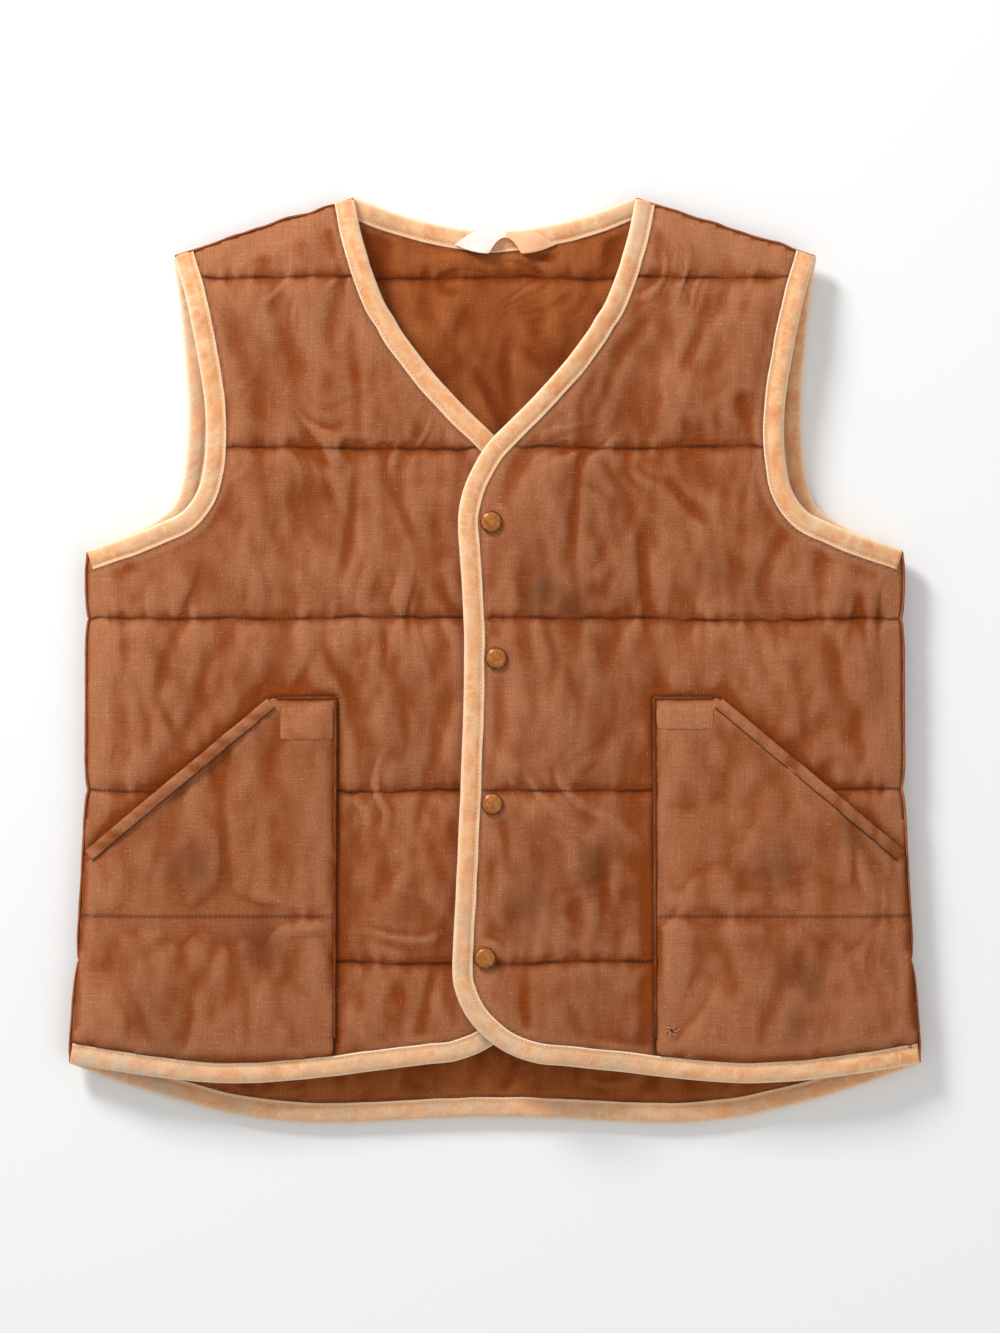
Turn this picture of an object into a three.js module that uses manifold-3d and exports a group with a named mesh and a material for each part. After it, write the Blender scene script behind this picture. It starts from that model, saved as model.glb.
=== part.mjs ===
// A quilted fishing vest, lying flat on its back, front up and snapped shut.
// Millimetres. +X is the wearer's left, +Y runs towards the collar and +Z is up.
// Each quilted panel is a shell, a fill and a lining. A folded tape binds every open edge.
// The inner part of each front is a flap of its own, which opens about a fold line.
import * as THREE from "three";
import { mergeVertices } from "three/addons/utils/BufferGeometryUtils.js";
import Module from "manifold-3d";

const wasm = await Module();
wasm.setup();

// ---- driving dimensions ------------------------------------------------------------

// The flat outline, measured from the centre line and from the middle of the length.
const HALF_CHEST = 281;
const HALF_WAIST = 282;
const HALF_HEM = 293;
const UNDERARM_Y = 75;
const WAIST_Y = -110;
const FRONT_HEM_Y = -290;
const SIDE_HEM_RISE = 13; // how far the hem rises from the centre to the side seam
const BACK_HEM_DROP = 28; // how far the back hangs below the front
const HALF_NECK = 97;
const NECK_POINT_Y = 318;
const BACK_NECK_DIP = 23;
const BACK_HEM_HIGH = [0.86, 25]; // where the back hem starts to level: share of width, height
const BACK_HEM_LOW = 0.5; // share of the width where it is lowest
const BACK_HEM_ARCH = 3; // rise at the centre
const HALF_SHOULDER = 221;
const SHOULDER_FALL = 40;
const HALF_FRONT_ARM = 198; // half width between the front armholes at their narrowest
const ARM_NARROW_Y = 165;
const ARM_FLOOR_RISE = 18; // how far the armhole's floor climbs before it turns up
const ARM_FLOOR_SHARE = 0.4; // how much of the floor's width is left there
const ARM_TURN_RISE = 20; // height of the turn above that
const ARM_TURN_WIDTH = 7;
const ARM_UPPER = 40; // from the shoulder tip down to where the arm edge leans in
const BACK_ARM_EXTRA = 13; // how much wider the back is between its armholes
const NECK_DEPTH = 169; // from the neck point down to where the neck edge meets the front edge
const NECK_END_X = -4;
const LAP_WANDER = 4; // how far the front edge swings either side of its line
const NECK_TURN = 60; // length of the turn from the neck edge into the front edge
const FRONT_WAIST = 160; // from the neck edge's end down to the front edge's waist
const FRONT_LAP = 25; // how far each front passes the centre line
const CORNER_WIDTH = 76; // the round of the front's lower corner
const CORNER_HEIGHT = 66;

// Layers of a quilted panel and its tape.
const TAPE = 1.0;
const TAPE_WIDTH = 14;
const CLEAR = 0.3;
const CLOTH = 1.0;
const FILL = 5.0;
const CAVITY = 5.0; // height of the body space between back and front

// The front flaps.
const FOLD_INSET = 9; // from each neck point in to the fold line
const RAMP_OUT = 18; // from the fold to the start of the step over the under flap
const RAMP_RUN = 40;
const LAP_GAP = 2.3; // between the two flaps where they overlap

// Snaps.
const SNAP_TOP_Y = 94;
const SNAP_PITCH = 93; // from the first snap to the second
const SNAP_SPREAD = 6; // by which each space is wider than the one above it
const SNAP_COUNT = 4;
const SNAP_GAP = 0.6; // between a cap and the front tape
const CAP_R = 7.5;
const CAP_RIM = 0.8;
const CAP_HEIGHT = 3.0;
const RIVET_R = 1.5;
const RIVET_HOLE_R = 2.0;
const SOCKET_R = 6.0;
const SOCKET_BORE_R = 2.8;
const SOCKET_HEIGHT = 2.5;
const SOCKET_ROOF = 0.9;
const STUD_R = 5.5;
const STUD_FLANGE = 0.8;
const STUD_POST_R = 1.9;
const STUD_ENTRY = 1.3; // how far the stud reaches into its socket
const EYELET_R = 5.5;
const EYELET_FLANGE = 0.8;
const NOTCH_STEPS = 24; // sides of the round notches for the studs

// Pockets.
const POCKET_INNER_X = 109;
const POCKET_TOP_Y = -26;
const POCKET_TOP_WIDTH = 46;
const MOUTH_SIDE_Y = -132;
const POCKET_SPACE = 5.0; // clear height inside, under the trim
const POCKET_CLOTH = 1.6;
const POCKET_SEAM = 2.0; // width of the sewn wall round the pocket
const TRIM_TAPE = 0.8;
const TRIM_WIDTH = 8.5;
const TRIM_START = 6; // from each end of the mouth to the trim's end
const PAST_MOUTH = 100; // the hollow is cut this far past the mouth, to leave it open
const PATCH_INSET = 6;
const PATCH_SIZES = { left: [40, 16], right: [37, 23] };

// Neck label, which doubles as a hanging loop.
const LABEL_MID_X = 7;
const LABEL_HALF = 35;
const LABEL_DEPTH = 16;
const LABEL_CLOTH = 0.8;
const LABEL_RISE = 5.3; // how far it stands off the neck tape
const LABEL_SEAM_HALF = 22; // half length of its sewn upper edge
const LABEL_TIP_DROP = 9; // from the sewn edge down to its pointed ends
const LABEL_ARCH_HALF = 11;
const LABEL_ARCH_DEPTH = 11.5;

// Steps along curved edges.
const STEPS = {
  arm: 14, side: 6, neck: 8, turn: 3, front: 8, corner: 6, hem: 8, backHem: 14, backNeck: 10,
};

// ---- sizes that follow from others -------------------------------------------------

const FOLD_X = HALF_NECK - FOLD_INSET; // distance of each fold line from the centre line
const SET_BACK = TAPE + CLEAR; // a panel's edge stands this far inside its tape
const PANEL = 2 * CLOTH + FILL + 2 * CLEAR;
const BOUND = PANEL + 2 * SET_BACK; // height of a bound edge
const FRONT_Z = BOUND + CAVITY;
const TOP_Z = FRONT_Z + BOUND;
const SHELL_TOP_Z = TOP_Z - SET_BACK;
const LINING_Z = FRONT_Z + SET_BACK;
const LAP_LIFT = BOUND + LAP_GAP;
const SHOULDER_TIP_Y = NECK_POINT_Y - SHOULDER_FALL;
const NECK_END_Y = NECK_POINT_Y - NECK_DEPTH;

// ---- finishes ----------------------------------------------------------------------

const finish = (color, roughness, metalness = 0) =>
  new THREE.MeshStandardMaterial({ color, roughness, metalness });
const SHELL_CLOTH = finish(0x985030, 0.9);
const LINING_CLOTH = finish(0x8a4a2c, 0.9);
const FILL_WOOL = finish(0xe8e2d4, 0.95);
const TAPE_CLOTH = finish(0xeebe8c, 0.85);
const LABEL_TAPE = finish(0xf2e6d8, 0.8);
const CAP_ENAMEL = finish(0x9a5214, 0.35);
const SNAP_METAL = finish(0xb9b3a6, 0.35, 1);

// ---- curves ------------------------------------------------------------------------

const at = (x, y) => new THREE.Vector2(x, y);

function curve(points, steps) {
  return new THREE.SplineCurve(points).getSpacedPoints(steps);
}

const mirror = (points) => points.map((p) => at(-p.x, p.y));

// Joins edges end to end, leaving out a point that the last edge already gave.
function joined(...edges) {
  const points = [];
  for (const p of edges.flat())
    if (!points.length || points.at(-1).distanceTo(p) > 1e-6) points.push(p);
  return points;
}

const edge = (a, b) => b.clone().sub(a).normalize();

// Unit normal to the left of a path at each of its points, lengthened at its corners.
function normals(points, closed) {
  const n = points.length;
  return points.map((p, i) => {
    const before = closed || i > 0 ? edge(points[(i + n - 1) % n], p) : null;
    const after = closed || i < n - 1 ? edge(p, points[(i + 1) % n]) : null;
    const a = before ?? after;
    const b = after ?? before;
    const sum = at(-a.y - b.y, a.x + b.x).normalize();
    return sum.divideScalar(Math.max(0.5, sum.dot(at(-a.y, a.x))));
  });
}

function offset(points, distance, closed = true) {
  const side = normals(points, closed);
  return points.map((p, i) => p.clone().addScaledVector(side[i], distance));
}

// The part of a path between two distances from its ends.
function trimmed(points, start, end) {
  const whole = new THREE.CurvePath();
  points.slice(1).forEach((p, i) => whole.add(new THREE.LineCurve(points[i], p)));
  const length = whole.getLength();
  const inner = points.filter((p, i) => {
    const run = i ? whole.getCurveLengths()[i - 1] : 0;
    return run > start + 1 && run < length - end - 1;
  });
  return [whole.getPointAt(start / length), ...inner, whole.getPointAt(1 - end / length)];
}

// ---- the outline, drawn for the wearer's left and counter-clockwise ----------------

const neckPoint = at(HALF_NECK, NECK_POINT_Y);
const shoulderTip = at(HALF_SHOULDER, SHOULDER_TIP_Y);
const underarm = at(HALF_CHEST, UNDERARM_Y);
const hemSide = at(HALF_HEM, FRONT_HEM_Y + SIDE_HEM_RISE);

const sideEdge = curve([hemSide, at(HALF_WAIST, WAIST_Y), underarm], STEPS.side);
const shoulderEdge = [shoulderTip, neckPoint];

function armhole(narrow) {
  const low = UNDERARM_Y + ARM_FLOOR_RISE;
  return curve(
    [
      underarm,
      at(narrow + ARM_FLOOR_SHARE * (HALF_CHEST - narrow), low),
      at(narrow + ARM_TURN_WIDTH, low + ARM_TURN_RISE),
      at(narrow, ARM_NARROW_Y),
      at((narrow + HALF_SHOULDER) / 2, SHOULDER_TIP_Y - ARM_UPPER),
      shoulderTip,
    ],
    STEPS.arm,
  );
}

const frontArm = armhole(HALF_FRONT_ARM);
const backArm = armhole(HALF_FRONT_ARM + BACK_ARM_EXTRA);

// The neck edge falls steeply from the neck point, then slants in to the front edge.
function frontNeckEdge() {
  const down = (x, share) => at(x * HALF_NECK, NECK_POINT_Y - share * NECK_DEPTH);
  const end = at(NECK_END_X, NECK_END_Y);
  return curve([neckPoint, down(0.96, 0.12), down(0.78, 0.43), down(0.43, 0.72), end], STEPS.neck);
}

function frontEdge() {
  const top = at(-FRONT_LAP, NECK_END_Y - NECK_TURN);
  const half = at(LAP_WANDER - FRONT_LAP, NECK_END_Y - NECK_TURN / 2);
  const waist = at(LAP_WANDER - FRONT_LAP, NECK_END_Y - FRONT_WAIST);
  const foot = at(-FRONT_LAP - LAP_WANDER, FRONT_HEM_Y + SIDE_HEM_RISE + CORNER_HEIGHT);
  const turn = curve([at(NECK_END_X, NECK_END_Y), half, top], STEPS.turn);
  const straight = curve([top, waist, foot], STEPS.front);
  const corner = new THREE.EllipseCurve(
    foot.x + CORNER_WIDTH, foot.y, CORNER_WIDTH, CORNER_HEIGHT, Math.PI, 1.5 * Math.PI, false,
  ).getPoints(STEPS.corner);
  return joined(turn, straight, corner);
}

function frontHem(from) {
  return curve([from, at(0.6 * HALF_HEM, FRONT_HEM_Y), hemSide], STEPS.hem);
}

const frontRun = frontEdge();
const frontHemEdge = frontHem(frontRun.at(-1));
const frontTape = joined(frontNeckEdge(), frontRun, frontHemEdge);
const frontOutline = joined(sideEdge, frontArm, shoulderEdge, frontTape).slice(0, -1);

const backHemEdge = (() => {
  const low = FRONT_HEM_Y - BACK_HEM_DROP;
  const [share, rise] = BACK_HEM_HIGH;
  const side = [hemSide, at(share * HALF_HEM, low + rise), at(BACK_HEM_LOW * HALF_HEM, low)];
  const half = [...mirror(side), at(0, low + BACK_HEM_ARCH), ...side.reverse()];
  return curve(half, STEPS.backHem);
})();
// The back neck is a shallow bow: its depth grows with the square of the distance from its ends.
const backNeckEdge = Array.from({ length: STEPS.backNeck + 1 }, (_, i) => {
  const share = 1 - (2 * i) / STEPS.backNeck;
  return at(share * HALF_NECK, NECK_POINT_Y - BACK_NECK_DIP * (1 - Math.abs(share) ** 1.7));
});
const rightHalf = (points) => mirror(points).reverse();
const backOutline = joined(
  backHemEdge, sideEdge, backArm, shoulderEdge, backNeckEdge,
  rightHalf(shoulderEdge), rightHalf(backArm), rightHalf(sideEdge),
).slice(0, -1);

// ---- solids ------------------------------------------------------------------------

function signedVolume(position, index) {
  const [a, b, c] = [new THREE.Vector3(), new THREE.Vector3(), new THREE.Vector3()];
  let sum = 0;
  for (let i = 0; i < index.length; i += 3) {
    a.fromBufferAttribute(position, index[i]);
    b.fromBufferAttribute(position, index[i + 1]);
    c.fromBufferAttribute(position, index[i + 2]);
    sum += a.dot(b.cross(c));
  }
  return sum;
}

// A geometry with only merged positions and with its faces turned outwards.
function closed(geometry) {
  const bare = geometry.clone();
  bare.deleteAttribute("normal");
  bare.deleteAttribute("uv");
  const merged = mergeVertices(bare, 1e-4);
  const index = Array.from(merged.index.array);
  if (signedVolume(merged.attributes.position, index) < 0)
    for (let i = 0; i < index.length; i += 3) [index[i], index[i + 1]] = [index[i + 1], index[i]];
  merged.setIndex(index);
  return merged;
}

function solid(geometry) {
  const whole = closed(geometry);
  return new wasm.Manifold(
    new wasm.Mesh({
      numProp: 3,
      vertProperties: whole.attributes.position.array,
      triVerts: new Uint32Array(whole.index.array),
    }),
  );
}

function geometryOf(manifold) {
  const mesh = manifold.getMesh();
  return new THREE.BufferGeometry()
    .setAttribute("position", new THREE.BufferAttribute(mesh.vertProperties, 3))
    .setIndex(new THREE.BufferAttribute(mesh.triVerts, 1));
}

function slab(outline, low, high, holes = []) {
  const shape = new THREE.Shape(outline);
  for (const hole of holes)
    shape.holes.push(new THREE.Path().absarc(hole.x, hole.y, RIVET_HOLE_R, 0, 2 * Math.PI));
  const options = { depth: high - low, bevelEnabled: false, curveSegments: 10 };
  return new THREE.ExtrudeGeometry(shape, options).translate(0, 0, low);
}

function block(lowX, highX, lowY, highY, lowZ, highZ) {
  return new THREE.BoxGeometry(highX - lowX, highY - lowY, highZ - lowZ)
    .translate((lowX + highX) / 2, (lowY + highY) / 2, (lowZ + highZ) / 2);
}

// Carries a section along a level path: its first number is measured to the path's left.
function sweep(path, section) {
  const side = normals(path, false);
  const contour = section.map(([out, z]) => at(out, z));
  if (THREE.ShapeUtils.area(contour) < 0) contour.reverse();
  const position = [];
  path.forEach((p, i) =>
    contour.forEach((q) => position.push(p.x + side[i].x * q.x, p.y + side[i].y * q.x, q.y)),
  );
  const m = contour.length;
  const index = [];
  for (let i = 0; i + 1 < path.length; i++)
    for (let j = 0; j < m; j++) {
      const [a, b] = [i * m + j, i * m + ((j + 1) % m)];
      index.push(a, b, b + m, a, b + m, a + m);
    }
  const last = (path.length - 1) * m;
  for (const [a, b, c] of THREE.ShapeUtils.triangulateShape(contour, [])) {
    index.push(c, b, a);
    index.push(last + a, last + b, last + c);
  }
  return new THREE.BufferGeometry()
    .setAttribute("position", new THREE.Float32BufferAttribute(position, 3))
    .setIndex(index);
}

// A tape folded round an edge. The panel lies to the left of the path.
function foldedTape(path, low, high, tape = TAPE, width = TAPE_WIDTH) {
  return sweep(path, [
    [0, low], [0, high], [width, high], [width, high - tape],
    [tape, high - tape], [tape, low + tape], [width, low + tape], [width, low],
  ]);
}

// Keeps what lies on one side of the plane x = FOLD_X, with half the clearance cut away.
const FAR = 1000;
function sideOfFold(geometry) {
  const keep = block(FOLD_X + CLEAR / 2, FAR, -FAR, FAR, -FAR, FAR);
  return geometryOf(solid(geometry).intersect(solid(keep)));
}
function flapOfFold(geometry) {
  const keep = block(-FAR, FOLD_X - CLEAR / 2, -FAR, FAR, -FAR, FAR);
  return geometryOf(solid(geometry).intersect(solid(keep)));
}

// Cuts the triangles that cross the plane x = level, so that a bend can be made there.
function scored(geometry, level) {
  const whole = closed(geometry);
  const position = Array.from(whole.attributes.position.array);
  const source = whole.index.array;
  const cuts = new Map();
  const x = (v) => position[3 * v];
  function cut(a, b) {
    const key = a < b ? `${a}:${b}` : `${b}:${a}`;
    if (!cuts.has(key)) {
      const [p, q] = a < b ? [a, b] : [b, a];
      const t = (level - x(p)) / (x(q) - x(p));
      cuts.set(key, position.length / 3);
      for (let k = 0; k < 3; k++)
        position.push(position[3 * p + k] + t * (position[3 * q + k] - position[3 * p + k]));
    }
    return cuts.get(key);
  }
  const index = [];
  for (let i = 0; i < source.length; i += 3) {
    const corner = [source[i], source[i + 1], source[i + 2]];
    const high = corner.map((v) => x(v) > level);
    const lone = [0, 1, 2].find((k) => high[k] !== high[(k + 1) % 3] && high[k] !== high[(k + 2) % 3]);
    if (lone === undefined) {
      index.push(...corner);
      continue;
    }
    const [a, b, c] = [corner[lone], corner[(lone + 1) % 3], corner[(lone + 2) % 3]];
    const [ab, ac] = [cut(a, b), cut(a, c)];
    index.push(a, ab, ac, ab, b, c, ab, c, ac);
  }
  return new THREE.BufferGeometry()
    .setAttribute("position", new THREE.Float32BufferAttribute(position, 3))
    .setIndex(index);
}

// Lifts the over flap in a ramp, so that it lies on the under flap past the centre.
function stepped(geometry) {
  const high = FOLD_X - RAMP_OUT;
  const bent = scored(scored(geometry, high), high - RAMP_RUN);
  const position = bent.attributes.position;
  for (let i = 0; i < position.count; i++) {
    const run = THREE.MathUtils.clamp((high - position.getX(i)) / RAMP_RUN, 0, 1);
    position.setZ(i, position.getZ(i) + LAP_LIFT * run);
  }
  return bent;
}

// Cuts round holes wherever a piece would touch a row of snaps.
function notched(geometry, places, radius) {
  const turn = (2 * Math.PI) / NOTCH_STEPS;
  const rods = places.map((p) => {
    const circle = Array.from({ length: NOTCH_STEPS }, (_, i) =>
      at(p.x + radius * Math.cos(i * turn), p.y + radius * Math.sin(i * turn)));
    return solid(slab(circle, -FAR, FAR));
  });
  return geometryOf(rods.reduce((rest, rod) => rest.subtract(rod), solid(geometry)));
}

// Cuts a tape's ends clear of the side and shoulder seams of both sides, whatever their slant.
function clearOfSeams(geometry) {
  const reach = TAPE + CLEAR;
  const wall = [[-TAPE_WIDTH, -1], [-TAPE_WIDTH, TOP_Z + 1], [reach, TOP_Z + 1], [reach, -1]];
  const walls = [sideEdge, shoulderEdge].map((path) => sweep(path, wall));
  const both = [...walls, ...walls.map(flipped)].map(solid);
  return geometryOf(both.reduce((rest, part) => rest.subtract(part), solid(geometry)));
}

// Turns a piece made for the wearer's left into the one for the right.
const flipped = (geometry) => closed(geometry.clone().scale(-1, 1, 1));

// ---- assembly ----------------------------------------------------------------------

const vest = new THREE.Group();

function add(name, geometry, material) {
  const mesh = new THREE.Mesh(closed(geometry), material);
  mesh.name = name;
  vest.add(mesh);
}

function addForSide(side, name, geometry, material) {
  add(`${side}_${name}`, side === "right" ? flipped(geometry) : geometry, material);
}

// The three layers of a quilted panel, as [name, low, high, material] from its outer face.
function layers(outerZ, sign) {
  const edges = [0, CLOTH, CLOTH + CLEAR, CLOTH + CLEAR + FILL, PANEL - CLOTH, PANEL];
  const z = edges.map((d) => outerZ + sign * d);
  return [
    ["shell", Math.min(z[0], z[1]), Math.max(z[0], z[1]), SHELL_CLOTH],
    ["fill", Math.min(z[2], z[3]), Math.max(z[2], z[3]), FILL_WOOL],
    ["lining", Math.min(z[4], z[5]), Math.max(z[4], z[5]), LINING_CLOTH],
  ];
}

// The snaps stand in a row beside the front tape and follow its slight wander.
function snapPlace(y) {
  const below = frontRun.findIndex((p) => p.y < y);
  const [a, b] = [frontRun[below - 1], frontRun[below]];
  const edgeX = THREE.MathUtils.mapLinear(y, a.y, b.y, a.x, b.x);
  return at(edgeX + TAPE_WIDTH + SNAP_GAP + CAP_R, y);
}
const snapPlaces = Array.from({ length: SNAP_COUNT }, (_, i) => {
  const wider = (SNAP_SPREAD * i * (i - 1)) / 2;
  return snapPlace(SNAP_TOP_Y - i * SNAP_PITCH - wider);
});

function addBack() {
  const outline = offset(backOutline, SET_BACK);
  for (const [name, low, high, material] of layers(SET_BACK, 1))
    add(`back_${name}`, slab(outline, low, high), material);
  const neck = trimmed(backNeckEdge, 3, 3);
  add("back_neck_binding", clearOfSeams(foldedTape(neck, 0, BOUND)), TAPE_CLOTH);
  const hem = trimmed(backHemEdge, 3, 3);
  add("back_hem_binding", clearOfSeams(foldedTape(hem, 0, BOUND)), TAPE_CLOTH);
  for (const side of ["left", "right"]) {
    const arm = clearOfSeams(foldedTape(trimmed(backArm, 4, 4), 0, BOUND));
    addForSide(side, "back_armhole_binding", arm, TAPE_CLOTH);
  }
}

function addFront(side) {
  const over = side === "left";
  const holes = snapPlaces.map((p) => at(over ? p.x : -p.x, p.y));
  const shape = (g) => (over ? stepped(flapOfFold(g)) : flapOfFold(g));
  const outline = offset(frontOutline, SET_BACK);
  for (const [name, low, high, material] of layers(SHELL_TOP_Z, -1)) {
    const sheet = slab(outline, low, high, holes);
    addForSide(side, `side_${name}`, sideOfFold(sheet), material);
    addForSide(side, `flap_${name}`, shape(sheet), material);
  }
  const tape = clearOfSeams(foldedTape(trimmed(frontTape, 5, 3), FRONT_Z, TOP_Z));
  const rooted = solid(sideOfFold(tape));
  const [upper, lower] = [block(0, FAR, 0, FAR, 0, FAR), block(0, FAR, -FAR, 0, 0, FAR)]
    .map((half) => geometryOf(rooted.intersect(solid(half))));
  addForSide(side, "neck_binding", upper, TAPE_CLOTH);
  addForSide(side, "hem_binding", lower, TAPE_CLOTH);
  const crossing = over ? shape(tape) : notched(shape(tape), holes, STUD_R + SNAP_GAP);
  addForSide(side, "flap_binding", crossing, TAPE_CLOTH);
  const arm = clearOfSeams(foldedTape(trimmed(frontArm, 4, 4), FRONT_Z, TOP_Z));
  addForSide(side, "front_armhole_binding", arm, TAPE_CLOTH);
}

// The side and shoulder seams close the vest between its back and its front.
function addSeams(side) {
  const wall = [[0, 0], [0, TOP_Z], [TAPE, TOP_Z], [TAPE, 0]];
  addForSide(side, "side_seam", sweep(trimmed(sideEdge, 1, 1), wall), SHELL_CLOTH);
  addForSide(side, "shoulder_seam", sweep(trimmed(shoulderEdge, 1, 1), wall), SHELL_CLOTH);
}

const mouthTop = at(POCKET_INNER_X + POCKET_TOP_WIDTH, POCKET_TOP_Y);
const mouthSide = at(HALF_WAIST, MOUTH_SIDE_Y);

// The pocket's plan, cut to the side seam and to the hem tape.
function pocketPlan(inset, mouthInset, low, high) {
  const along = edge(mouthTop, mouthSide);
  const inward = at(along.y, -along.x).multiplyScalar(mouthInset);
  const start = mouthTop.clone().addScaledVector(along, -FAR).add(inward);
  const end = mouthSide.clone().addScaledVector(along, FAR).add(inward);
  const below = slab([start, at(start.x, -FAR), at(end.x, -FAR), end], low, high);
  const box = block(POCKET_INNER_X + inset, FAR, -FAR, POCKET_TOP_Y - inset, low, high);
  const inside = slab(offset(frontOutline, SET_BACK + CLEAR + inset), low, high);
  const band = TAPE_WIDTH + CLEAR + inset;
  const hem = sweep(frontHemEdge, [[-FAR, low - 1], [-FAR, high + 1], [band, high + 1], [band, low - 1]]);
  return solid(box).intersect(solid(below)).intersect(solid(inside)).subtract(solid(hem));
}

const POCKET_LOW = SHELL_TOP_Z + CLEAR;
const PANEL_LOW = POCKET_LOW + POCKET_SPACE + TRIM_TAPE + CLEAR;
const PANEL_HIGH = PANEL_LOW + POCKET_CLOTH;

function addPocket(side) {
  const body = pocketPlan(0, TRIM_TAPE + CLEAR, POCKET_LOW, PANEL_HIGH);
  const hollow = pocketPlan(POCKET_SEAM, -PAST_MOUTH, POCKET_LOW - 1, PANEL_LOW);
  addForSide(side, "pocket_panel", geometryOf(body.subtract(hollow)), SHELL_CLOTH);
  const along = edge(mouthTop, mouthSide);
  const start = mouthTop.clone().addScaledVector(along, TRIM_START);
  const end = mouthSide.clone().addScaledVector(along, -TRIM_START);
  const low = PANEL_LOW - CLEAR - TRIM_TAPE;
  const high = PANEL_HIGH + CLEAR + TRIM_TAPE;
  const trim = foldedTape([end, start], low, high, TRIM_TAPE, TRIM_WIDTH);
  addForSide(side, "pocket_trim", trim, SHELL_CLOTH);
  const [width, height] = PATCH_SIZES[side];
  const x = POCKET_INNER_X + 1;
  const y = POCKET_TOP_Y - PATCH_INSET;
  const patch = block(x, x + width, y - height, y, PANEL_HIGH + CLEAR, high);
  addForSide(side, "pocket_patch", patch, SHELL_CLOTH);
}

// A turned piece, from its profile of [radius, height] pairs.
function turned(profile, place, lift) {
  const points = profile.map(([r, z]) => at(r, z));
  return new THREE.LatheGeometry(points, 14).rotateX(Math.PI / 2).translate(place.x, place.y, lift);
}

function addSnap(number, place) {
  const name = (piece) => `snap_${number}_${piece}`;
  const capLow = SHELL_TOP_Z + CLEAR;
  const socketTop = LINING_Z - CLEAR;
  const socketLow = socketTop - SOCKET_HEIGHT;
  const boreTop = socketTop - SOCKET_ROOF;
  const cap = [
    [0, boreTop + CLEAR], [RIVET_R, boreTop + CLEAR], [RIVET_R, capLow], [CAP_R, capLow],
    [CAP_R, capLow + CAP_RIM], [CAP_R * 0.82, capLow + CAP_HEIGHT * 0.6],
    [CAP_R * 0.5, capLow + CAP_HEIGHT * 0.9], [0, capLow + CAP_HEIGHT],
  ];
  add(name("cap"), turned(cap, place, LAP_LIFT), CAP_ENAMEL);
  const socket = [
    [RIVET_R + CLEAR, boreTop], [SOCKET_BORE_R, boreTop], [SOCKET_BORE_R, socketLow],
    [SOCKET_R - 0.5, socketLow], [SOCKET_R, socketLow + 0.5], [SOCKET_R, socketTop],
    [RIVET_R + CLEAR, socketTop], [RIVET_R + CLEAR, boreTop],
  ];
  add(name("socket"), turned(socket, place, LAP_LIFT), SNAP_METAL);
  const studLow = SHELL_TOP_Z + CLEAR;
  const studTop = LAP_LIFT + socketLow + STUD_ENTRY;
  const stud = [
    [0, studLow], [STUD_R, studLow], [STUD_R, studLow + STUD_FLANGE],
    [STUD_POST_R * 0.8, studLow + STUD_FLANGE], [STUD_POST_R, studTop - 0.6],
    [STUD_POST_R * 0.7, studTop], [0, studTop],
  ];
  add(name("stud"), turned(stud, place, 0), SNAP_METAL);
  const eyeletTop = LINING_Z - CLEAR;
  const eyelet = [
    [0, eyeletTop - EYELET_FLANGE], [EYELET_R, eyeletTop - EYELET_FLANGE], [EYELET_R, eyeletTop],
    [RIVET_R, eyeletTop], [RIVET_R, studLow - CLEAR], [0, studLow - CLEAR],
  ];
  add(name("eyelet"), turned(eyelet, place, 0), SNAP_METAL);
}

// The label is sewn along its upper edge and arches over a gap that takes a hook.
function addLabel() {
  const seam = NECK_POINT_Y - BACK_NECK_DIP;
  const low = seam - LABEL_DEPTH;
  const [left, right] = [LABEL_MID_X - LABEL_HALF, LABEL_MID_X + LABEL_HALF];
  const tips = seam - LABEL_TIP_DROP;
  const shape = new THREE.Shape();
  shape.moveTo(left, tips);
  shape.quadraticCurveTo(LABEL_MID_X - LABEL_SEAM_HALF, low, LABEL_MID_X - LABEL_ARCH_HALF, low);
  shape.quadraticCurveTo(
    LABEL_MID_X, low + 2 * LABEL_ARCH_DEPTH, LABEL_MID_X + LABEL_ARCH_HALF, low,
  );
  shape.quadraticCurveTo(LABEL_MID_X + LABEL_SEAM_HALF, low, right, tips);
  shape.lineTo(LABEL_MID_X + LABEL_SEAM_HALF, seam);
  shape.lineTo(LABEL_MID_X - LABEL_SEAM_HALF, seam);
  const top = BOUND + CLEAR + LABEL_RISE;
  const options = { depth: LABEL_CLOTH, bevelEnabled: false, curveSegments: 8 };
  const face = new THREE.ExtrudeGeometry(shape, options).translate(0, 0, top - LABEL_CLOTH);
  const wall = block(
    LABEL_MID_X - LABEL_SEAM_HALF, LABEL_MID_X + LABEL_SEAM_HALF,
    seam - LABEL_CLOTH, seam, BOUND + CLEAR, top,
  );
  add("neck_label", geometryOf(solid(face).add(solid(wall))), LABEL_TAPE);
}

addBack();
for (const side of ["left", "right"]) {
  addFront(side);
  addSeams(side);
  addPocket(side);
}
snapPlaces.forEach((place, i) => addSnap(i + 1, place));
addLabel();

// The origin is under the middle of the vest's box, on the surface that it lies on.
const box = new THREE.Box3().setFromObject(vest);
const middle = box.getCenter(new THREE.Vector3());
vest.position.set(-middle.x, -middle.y, -box.min.z);

export default vest;
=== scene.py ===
"""A quilted fishing vest, lying flat on its back with its front snapped shut.

Lengths are in metres. +X is the wearer's left, +Y runs to the collar, +Z comes up out of the front.
Outlines, folds and fasteners are taken from the frame's own plates, so the cloth fits them."""
import math

import bmesh
import bpy
import numpy as np
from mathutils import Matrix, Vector, kdtree, noise
from mathutils.bvhtree import BVHTree


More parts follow.
